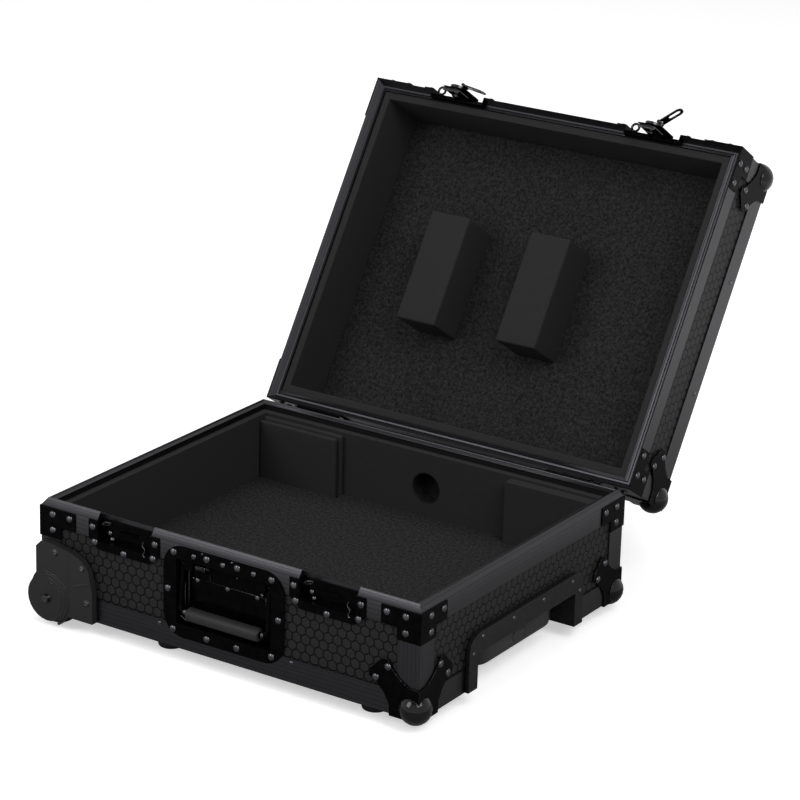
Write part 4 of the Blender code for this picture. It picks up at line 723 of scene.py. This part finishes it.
def make_latches():
    """Both butterfly latches in their dishes."""
    for side, x in LATCHES.items():
        recast(f"latch_keeper_{side}", f"keeper_dish_{side}", BLACK_STEEL, 0.0004)
        recast(f"latch_dish_{side}", f"latch_dish_pressing_{side}", BLACK_STEEL, 0.0004)
        recast(f"latch_claw_{side}", f"latch_hook_{side}", BLACK_CHROME, 0.0004)
        recast(f"latch_rotor_{side}", f"latch_turntable_{side}", BLACK_CHROME, 0.0003)
        recast(f"latch_wing_{side}", f"latch_butterfly_{side}", BLACK_CHROME, 0.0004)
        for name, part, rise in (("keeper", "base", -1), ("latch", "lid", 1)):
            spots = [((x + u, FRONT_PLATE_Y, RIM_Z + rise * v), FRONT) for u, v in LATCH_RIVETS_FROM_RIM]
            heads(f"{name}_rivets_{side}", spots, part)
        pins = [((x + u, KEEPER_PINS_Y, z), FRONT) for u, z in KEEPER_PINS]
        heads(f"keeper_pin_heads_{side}", pins, "base", HINGE_HEAD)
        for part, eye in (("base", Vector((x + EYE_X, *BASE_EYE))),
                          ("lid", SHUT @ Vector((x + EYE_X, *LID_EYE)))):
            loop = ring(eye, EYE_RADIUS, (0, 0, 1))
            wires(f"{part}_padlock_eye_{side}", [loop], EYE_WIRE, part, BLACK_CHROME)
        hook = [(x + u, KEEPER_HOOK_Y, z) for u, z in KEEPER_HOOK]
        wires(f"keeper_hook_{side}", [hook], 0.0008, "base")


def make_hinges():
    """The two leaves of each hinge behind the rim."""
    for side in LATCHES:
        recast(f"hinge_base_leaf_{side}", f"hinge_lower_leaf_{side}", BLACK_STEEL, 0.0003)
        recast(f"hinge_lid_leaf_{side}", f"hinge_upper_leaf_{side}", BLACK_STEEL, 0.0003)


# The handle's dish: rivets from the left side and below the rim, then X, Y and Z of what lies inside
DISH_RIVETS = [(0.201, 0.011), (0.249, 0.009), (0.293, 0.009), (0.342, 0.011), (0.1925, 0.059),
               (0.352, 0.059), (0.200, 0.109), (0.2497, 0.110), (0.293, 0.1095), (0.343, 0.107)]
HANDLE_RIVETS = ([(x, FRONT_PLATE_Y, 0.0758) for x in (-0.0428, -0.0008, 0.0432)]
                 + [(x, -0.2142, 0.0405) for x in (-0.0472, -0.0029, 0.0400)])
HANDLE_PINS = [(-0.0306, FRONT_PLATE_Y, 0.0822), (0.0123, FRONT_PLATE_Y, 0.0822), (0.0104, -0.2138, 0.0578),
               (-0.0525, -0.2138, 0.0420)]
PIVOT_CLIPS = [(x, -0.2150, z) for x, z in ((-0.061, 0.0625), (-0.053, 0.0550), (0.0567, 0.0635),
                                            (0.0600, 0.0555), (0.0475, 0.0465))]
HINGE_PLATES = [((-0.052, -0.2141, 0.0290), (0.052, -0.2131, 0.0428)),
                ((-0.022, -0.2141, 0.0505), (0.054, -0.2131, 0.0665))]
# Painted glint lines along the dish's pressed steps: X and Y of each, and Z of both ends below
DISH_STEPS = [(-0.0645, -0.2215), (-0.0615, -0.2185), (-0.0585, -0.2155)]
DISH_STEP_ENDS = (-0.002, 0.064)
GRIP_END = (0.0545, -0.2246, 0.0012)
CURL_RADIUS = 0.0036
CURL_TURNS = 2.4
CURL_PITCH = 0.0012
SPRING_TAIL = [(-0.0665, -0.2195, -0.0075), (-0.0590, -0.2195, -0.0120)]


def make_front_handle():
    """The recessed carrying handle: dish, bail wire, spring and grip."""
    recast("handle_dish", "handle_dish_pressing", BLACK_STEEL, 0.0005)
    recast("handle_bail", "handle_bail_wire", BLACK_STEEL, 0.0003)
    recast("handle_spring", "handle_return_spring", BLACK_CHROME, 0)
    recast("handle_grip", "handle_grip_rubber", RUBBER, 0.0005)
    heads("dish_rivets", [((u - HALF_X, FRONT_PLATE_Y, RIM_Z - v), FRONT) for u, v in DISH_RIVETS], "base")
    heads("handle_plate_rivets", [(place, FRONT) for place in HANDLE_RIVETS], "base", HINGE_HEAD)
    heads("handle_plate_pins", [(place, FRONT) for place in HANDLE_PINS], "base", PIN_HEAD)
    make_dish_details()


def make_dish_details():
    """The plates with painted glints on their edges, painted glint lines along the pressed steps, and clips
    in the dish, the curls at the grip's ends and the spring's tail.
    """
    bm = bmesh.new()
    for low, high in HINGE_PLATES:
        block_into(bm, low, high)
    # The plates' broken edges take black chrome, brighter than the plates, as painted glints
    break_edges(bm, 0.0003, 1, number=1)
    settle("handle_hinge_plates", bm, BLACK_STEEL, "base", glint_or_second_finish=BLACK_CHROME)
    # Thin pale wires along the pressed steps: painted glint lines
    steps = [[(x, y, z) for z in DISH_STEP_ENDS] for x, y in DISH_STEPS]
    wires("handle_dish_step_glints", steps, 0.0003, "base", PAINTED_EDGE_GLINT)
    x, y, z = GRIP_END
    curls = []
    for side in (-1, 1):
        curls.append(ring((side * x, y, z), CURL_RADIUS, (1, 0, 0), CURL_TURNS * math.tau, 10,
                          side * CURL_PITCH))
    wires("handle_grip_curls", curls, 0.0007, "handle")
    heads("handle_pivot_clips", [(place, FRONT) for place in PIVOT_CLIPS], "base", CLIP_HEAD)
    wires("handle_spring_tail", [SPRING_TAIL], 0.0012, "base")


# Wheel corners. Places are X and Z. A ring has its radius about the axle and its ends in degrees

AXLE = (-0.2582, -0.0295)
AXLE_HEAD_RADIUS = 0.0066
AXLE_HEAD_PROUD = 0.0003
CHEEK_BOLTS = [(-0.2450, 0.0327), (-0.2046, 0.0214), (-0.1980, -0.0220)]
CHEEK_RINGS = [(0.0345, -62, 98), (0.0315, -55, 92), (0.0270, -48, 84), (0.0225, -40, 76)]
CHEEK_RIB = [(-0.2262, 0.0400), (-0.2262, -0.0150)]
CHEEK_STEP = [(-0.2150, -0.0050), (-0.2112, -0.0018), (-0.1945, 0.0040)]
BEAD_RADIUS = 0.0019
BEAD_SUNK = 0.0012
RING_STEPS = 18


def make_cheek_details(side, sign):
    """Moulded rings about the axle, a rib, a step and three washered bolts on a wheel corner's cheek."""
    face = sign * (HALF_Y + CHEEK_PROUD)
    sunk = face - sign * BEAD_SUNK
    lines = []
    for radius, first, last in CHEEK_RINGS:
        angles = [math.radians(first + (last - first) * i / RING_STEPS) for i in range(RING_STEPS + 1)]
        lines.append([(AXLE[0] + radius * math.cos(a), AXLE[1] + radius * math.sin(a)) for a in angles])
    beads = [[(x, sunk, z) for x, z in line] for line in lines + [CHEEK_RIB, CHEEK_STEP]]
    wires(f"wheel_corner_beads_{side}", beads, BEAD_RADIUS, "base", ABS)
    spots = [((x, face, z), (0, sign, 0)) for x, z in CHEEK_BOLTS]
    heads(f"wheel_corner_washers_{side}", spots, "base", WASHER, BLACK_CHROME)
    heads(f"wheel_corner_bolts_{side}", spots, "base", SCREW)


def mark_axle_head(bm):
    """Numbers the faces of the axle's head 1 and all others 0."""
    for face in bm.faces:
        middle = face.calc_center_median()
        from_axle = math.hypot(middle.x - AXLE[0], middle.z - AXLE[1])
        proud = abs(middle.y) - HALF_Y - CHEEK_PROUD
        face.material_index = 1 if from_axle < AXLE_HEAD_RADIUS and proud > AXLE_HEAD_PROUD else 0


def make_wheels():
    """Two moulded wheel corners and their tyres."""
    for side, sign in (("front", -1), ("back", 1)):
        recast(f"wheel_housing_{side}", f"wheel_corner_{side}", ABS, 0.0012, 3, mapping=mark_axle_head,
               glint_or_second_finish=RIVET_STEEL)
        make_cheek_details(side, sign)
        recast(f"wheel_{side}", f"wheel_tyre_{side}", WHEEL_RUBBER, 0.0003)


# Trolley. Rivets are placed from the front and below the rim, or from the left side, or along Y

BUTTON_POCKET = 0.0070
TROLLEY_RIVETS = [(0.106, 0.086), (0.125, 0.070), (0.193, 0.071), (0.260, 0.071), (0.327, 0.071),
                  (0.345, 0.088)]
BASE_EDGING_RIVETS = (0.179, 0.370)
BASE_EDGING_RIVETS_BELOW_RIM = 0.108
LID_EDGING_RIVETS = (-0.075, 0.075)
LID_EDGING_RIVETS_BELOW_TOP = 0.012


def make_trolley():
    """The pull-out trolley in the right wall, and the small rivets of the edging."""
    recast("trolley_housing", "trolley_face_plate", BLACK_PLASTIC, 0.0010, 3)
    recast("trolley_sleeves", "trolley_guide_sleeves", BRIGHT_STEEL, 0.0003)
    recast("trolley_grip", "trolley_pull_grip", GRIP_MOULDING, 0.0030, 4, above=25.0,
           crisp=corners(frame["nodes"]["trolley_button"].data.vertices, BUTTON_POCKET))
    recast("trolley_button", "trolley_release_button", GRIP_MOULDING, 0.0004)
    for side in ("front", "back"):
        recast(f"trolley_tube_{side}", f"trolley_inner_tube_{side}", BLACK_STEEL, 0.0003)
    plate = HALF_X + TROLLEY_PLATE_PROUD
    spots = [((plate, u - HALF_Y, RIM_Z - v), (1, 0, 0)) for u, v in TROLLEY_RIVETS]
    heads("trolley_plate_rivets", spots, "base", SMALL_RIVET)
    low = RIM_Z - BASE_EDGING_RIVETS_BELOW_RIM
    spots = [((u - HALF_X, -HALF_Y, low), FRONT) for u in BASE_EDGING_RIVETS]
    heads("base_edging_rivets", spots, "base", SMALL_RIVET)
    high = LID_TOP_Z - LID_EDGING_RIVETS_BELOW_TOP
    spots = [((HALF_X, y, high), (1, 0, 0)) for y in LID_EDGING_RIVETS]
    heads("lid_edging_rivets", spots, "lid", SMALL_RIVET)


def make_feet():
    """Rubber feet under the base and on the lid's left side."""
    for x in ("left", "right"):
        for y in ("front", "back"):
            recast(f"base_foot_{y}_{x}", f"rubber_foot_{y}_{x}", RUBBER, 0.0015, 3)
    for y in ("front", "back"):
        recast(f"lid_side_foot_{y}", f"side_foot_{y}", RUBBER, 0.0015, 3)


# Foam and felt

FOAM_EDGE = 0.0014
WAVE_LENGTH = 0.03
WAVE_HEIGHT = 0.0004
PAD_SHORT_AT_SIDE = 0.004
PAD_SHORT_AT_TOP = 0.003
PAD_HALF_GAP = 0.0004
PAD_EDGE = 0.0028
PAD_CROWN = 0.0003
BLOCK_EDGE = 0.0022
BLOCK_CROWN = 0.0004


def soften(bm, seed):
    """Nudges a soft shape's surface in slow waves."""
    bm.normal_update()
    for vert in bm.verts:
        place = vert.co / WAVE_LENGTH + Vector((seed, seed, seed))
        vert.co += vert.normal * noise.noise(place) * WAVE_HEIGHT


def slab(name, node, low, high, edge, crown, cuts, body, seed):
    """A padded foam block for a node, with rounded edges, a little crowned and uneven."""
    bm = bmesh.new()
    block_into(bm, low, high)
    half = (Vector(high) - Vector(low)) / 2
    middle = (Vector(high) + Vector(low)) / 2
    bmesh.ops.bevel(bm, geom=bm.edges, offset=edge, segments=4, profile=0.5, material=-1, affect="EDGES")
    longest = [e for e in bm.edges if e.calc_length() > 4 * edge]
    bmesh.ops.subdivide_edges(bm, edges=longest, cuts=cuts, use_grid_fill=True)
    for vert in bm.verts:
        offset = vert.co - middle
        for axis in range(3):
            others = [1 - (offset[k] / half[k]) ** 2 for k in range(3) if k != axis]
            vert.co[axis] -= math.copysign(crown * (1 - others[0] * others[1]), offset[axis])
    soften(bm, seed)
    bm.normal_update()
    block = settle(name, bm, FOAM, body, 60.0, weighted=False)
    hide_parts(node)


def flat_box(node):
    """A node's corners with the lid shut."""
    bm = shape_of(node)
    box = corners(bm.verts)
    bm.free()
    return box


def make_linings():
    """Foam walls in base and lid, the left rear pad in two layers, and the lid's two blocks."""
    for part in ("base", "lid"):
        foam = recast(f"{part}_foam_lining", f"{part}_foam_walls", FOAM, FOAM_EDGE, 3)
    low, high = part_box("base_foam_pad")
    seam = (low.y + high.y) / 2
    front_top = (high.x - PAD_SHORT_AT_SIDE, seam - PAD_HALF_GAP, high.z - PAD_SHORT_AT_TOP)
    slab("foam_pad_front_layer", "base_foam_pad", low, front_top, PAD_EDGE, PAD_CROWN, 10, "base", 3)
    back_foot = (low.x, seam + PAD_HALF_GAP, low.z)
    slab("foam_pad_back_layer", "base_foam_pad", back_foot, high, PAD_EDGE, PAD_CROWN, 10, "base", 7)
    for side, seed in (("left", 11), ("right", 17)):
        node = f"lid_foam_block_{side}"
        low, high = flat_box(node)
        slab(f"foam_block_{side}", node, low, high, BLOCK_EDGE, BLOCK_CROWN, 14, "lid", seed)


def layer_of(node, low, high):
    """The part of a flat CAD node that lies between two heights, closed again where it is cut."""
    bm = shape_of(node)
    for level, outward in ((low, -1), (high, 1)):
        cut = bmesh.ops.bisect_plane(bm, geom=bm.verts[:] + bm.edges[:] + bm.faces[:], dist=1e-7,
                                     plane_co=(0, 0, level), plane_no=(0, 0, outward), clear_outer=True)
        rim = [e for e in cut["geom_cut"] if isinstance(e, bmesh.types.BMEdge)]
        bmesh.ops.holes_fill(bm, edges=rim, sides=0)
    bmesh.ops.recalc_face_normals(bm, faces=bm.faces)
    return bm


def make_felts():
    """The floor board with its felt, and the felt glued in the lid."""
    low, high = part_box("carpeted_floor_board")
    seam = high.z - FELT_THICKNESS
    beyond = 0.001
    glue = 0.0002
    for name, bottom, top, material, edge in (
            ("floor_board", low.z - beyond, seam - glue, HARDBOARD, 0.0004),
            ("floor_felt", seam, high.z + beyond, FELT, 0.0010)):
        bm = layer_of("carpeted_floor_board", bottom, top)
        bm.normal_update()
        area = sum(f.calc_area() for f in bm.faces if f.normal.z > 0.9)
        break_edges(bm, edge, 3)
        thing = settle(name, bm, material, "base")
        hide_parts("carpeted_floor_board")
    # The last one made is the felt, a cut sheet
    felt = recast("lid_carpet", "lid_felt", FELT, 0.0008)
    low, high = flat_box("lid_carpet")


# Floor and light

FLOOR_SIZE = 30.0
FLOOR_TONE = (0.8, 0.8, 0.8, 1.0)
FLOOR_TONE_IN_SHINE = (0.36, 0.36, 0.36, 1.0)
FLOOR_GLOW = 0.5
SHINE_FADES = (0.5, 1.3)
SURROUND_SEEN = 1.0
SURROUND_LIGHT = 0.40
CEILING_SEEN = 0.15
CEILING_FADES = (0.55, 0.8)
SOFTBOXES = [("key_softbox", (2.4, -1.2, 2.6), 2.0, 80.0),
             ("fill_softbox", (-1.4, -2.9, 2.2), 1.8, 60.0),
             ("top_softbox", (-0.6, 1.0, 3.0), 1.4, 30.0)]
AIM = (0, 0, 0.2)


def seen_directly(tree, path):
    """1 for what the eye sees, itself or in a shine or through glass, and 0 for what only lights the case."""
    seen = path.outputs["Is Camera Ray"]
    for ray in ("Is Glossy Ray", "Is Transmission Ray"):
        seen = add(tree, "ShaderNodeMath", {0: seen, 1: path.outputs[ray]}, operation="MAXIMUM").outputs[0]
    return seen


def make_floor_finish():
    """White paper sweep, matt and without shine. Near the case, shines see it as mid grey."""
    material, tree, shader = surface("studio_floor", 0.9, specular=0.0)
    path = add(tree, "ShaderNodeLightPath")
    place = add(tree, "ShaderNodeTexCoord").outputs["Object"]
    away = add(tree, "ShaderNodeVectorMath", {0: place}, operation="LENGTH").outputs[1]
    inner, outer = SHINE_FADES
    near = add(tree, "ShaderNodeMapRange", {"Value": away, "From Min": outer, "From Max": inner}).outputs[0]
    glossy = path.outputs["Is Glossy Ray"]
    shaded = add(tree, "ShaderNodeMath", {0: near, 1: glossy}, operation="MULTIPLY").outputs[0]
    tone = add(tree, "ShaderNodeMix", {0: shaded, 6: FLOOR_TONE, 7: FLOOR_TONE_IN_SHINE},
               data_type="RGBA").outputs[2]
    tree.links.new(tone, shader.inputs["Base Color"])
    seen = seen_directly(tree, path)
    glow = add(tree, "ShaderNodeMath", {0: seen, 1: FLOOR_GLOW}, operation="MULTIPLY").outputs[0]
    glow = add(tree, "ShaderNodeMath", {0: glow, 1: shaded}, operation="SUBTRACT", use_clamp=True).outputs[0]
    shader.inputs["Emission Color"].default_value = (1.0, 1.0, 1.0, 1.0)
    tree.links.new(glow, shader.inputs["Emission Strength"])
    return material


def make_floor():
    """A wide floor at the height the wheels and feet stand on."""
    bm = bmesh.new()
    bmesh.ops.create_grid(bm, x_segments=2, y_segments=2, size=FLOOR_SIZE)
    mesh = bpy.data.meshes.new("floor")
    bm.to_mesh(mesh)
    bm.free()
    mesh.transform(Matrix.Translation((0, 0, GROUND_Z)))
    mesh.materials.append(make_floor_finish())
    floor = bpy.data.objects.new("floor", mesh)
    scene.collection.objects.link(floor)


def make_surround():
    """A white surround, darker overhead where shines see it, and weaker as light than it looks."""
    world = bpy.data.worlds.new("studio_surround")
    scene.world = world
    world.use_nodes = True
    tree = world.node_tree
    background = tree.nodes["Background"]
    background.inputs["Color"].default_value = (1.0, 1.0, 1.0, 1.0)
    seen = seen_directly(tree, add(tree, "ShaderNodeLightPath"))
    direction = add(tree, "ShaderNodeTexCoord").outputs["Generated"]
    height = add(tree, "ShaderNodeSeparateXYZ", {0: direction}).outputs[2]
    low, high = CEILING_FADES
    ceiling = add(tree, "ShaderNodeMapRange", {"Value": height, "From Min": low, "From Max": high,
                                               "To Min": SURROUND_SEEN, "To Max": CEILING_SEEN}).outputs[0]
    level = add(tree, "ShaderNodeMapRange", {"Value": seen, "To Min": SURROUND_LIGHT, "To Max": ceiling})
    tree.links.new(level.outputs[0], background.inputs["Strength"])


def make_softboxes():
    """Three square soft lights aimed at the case: a key from the right, a fill from the left, one above."""
    for name, place, size, power in SOFTBOXES:
        lamp = bpy.data.lights.new(name, "AREA")
        lamp.size = size
        lamp.energy = power
        thing = bpy.data.objects.new(name, lamp)
        aim = Vector(AIM) - Vector(place)
        thing.matrix_world = Matrix.Translation(place) @ aim.to_track_quat("-Z", "Y").to_matrix().to_4x4()
        scene.collection.objects.link(thing)


scene.view_settings.view_transform = "Standard"
make_camera()
make_boxes()
make_corners()
make_latches()
make_hinges()
make_front_handle()
make_wheels()
make_trolley()
make_feet()
make_linings()
make_felts()
recast("cable_port", "cable_port_bush", BLACK_PLASTIC, 0.0004)
make_floor()
make_surround()
make_softboxes()
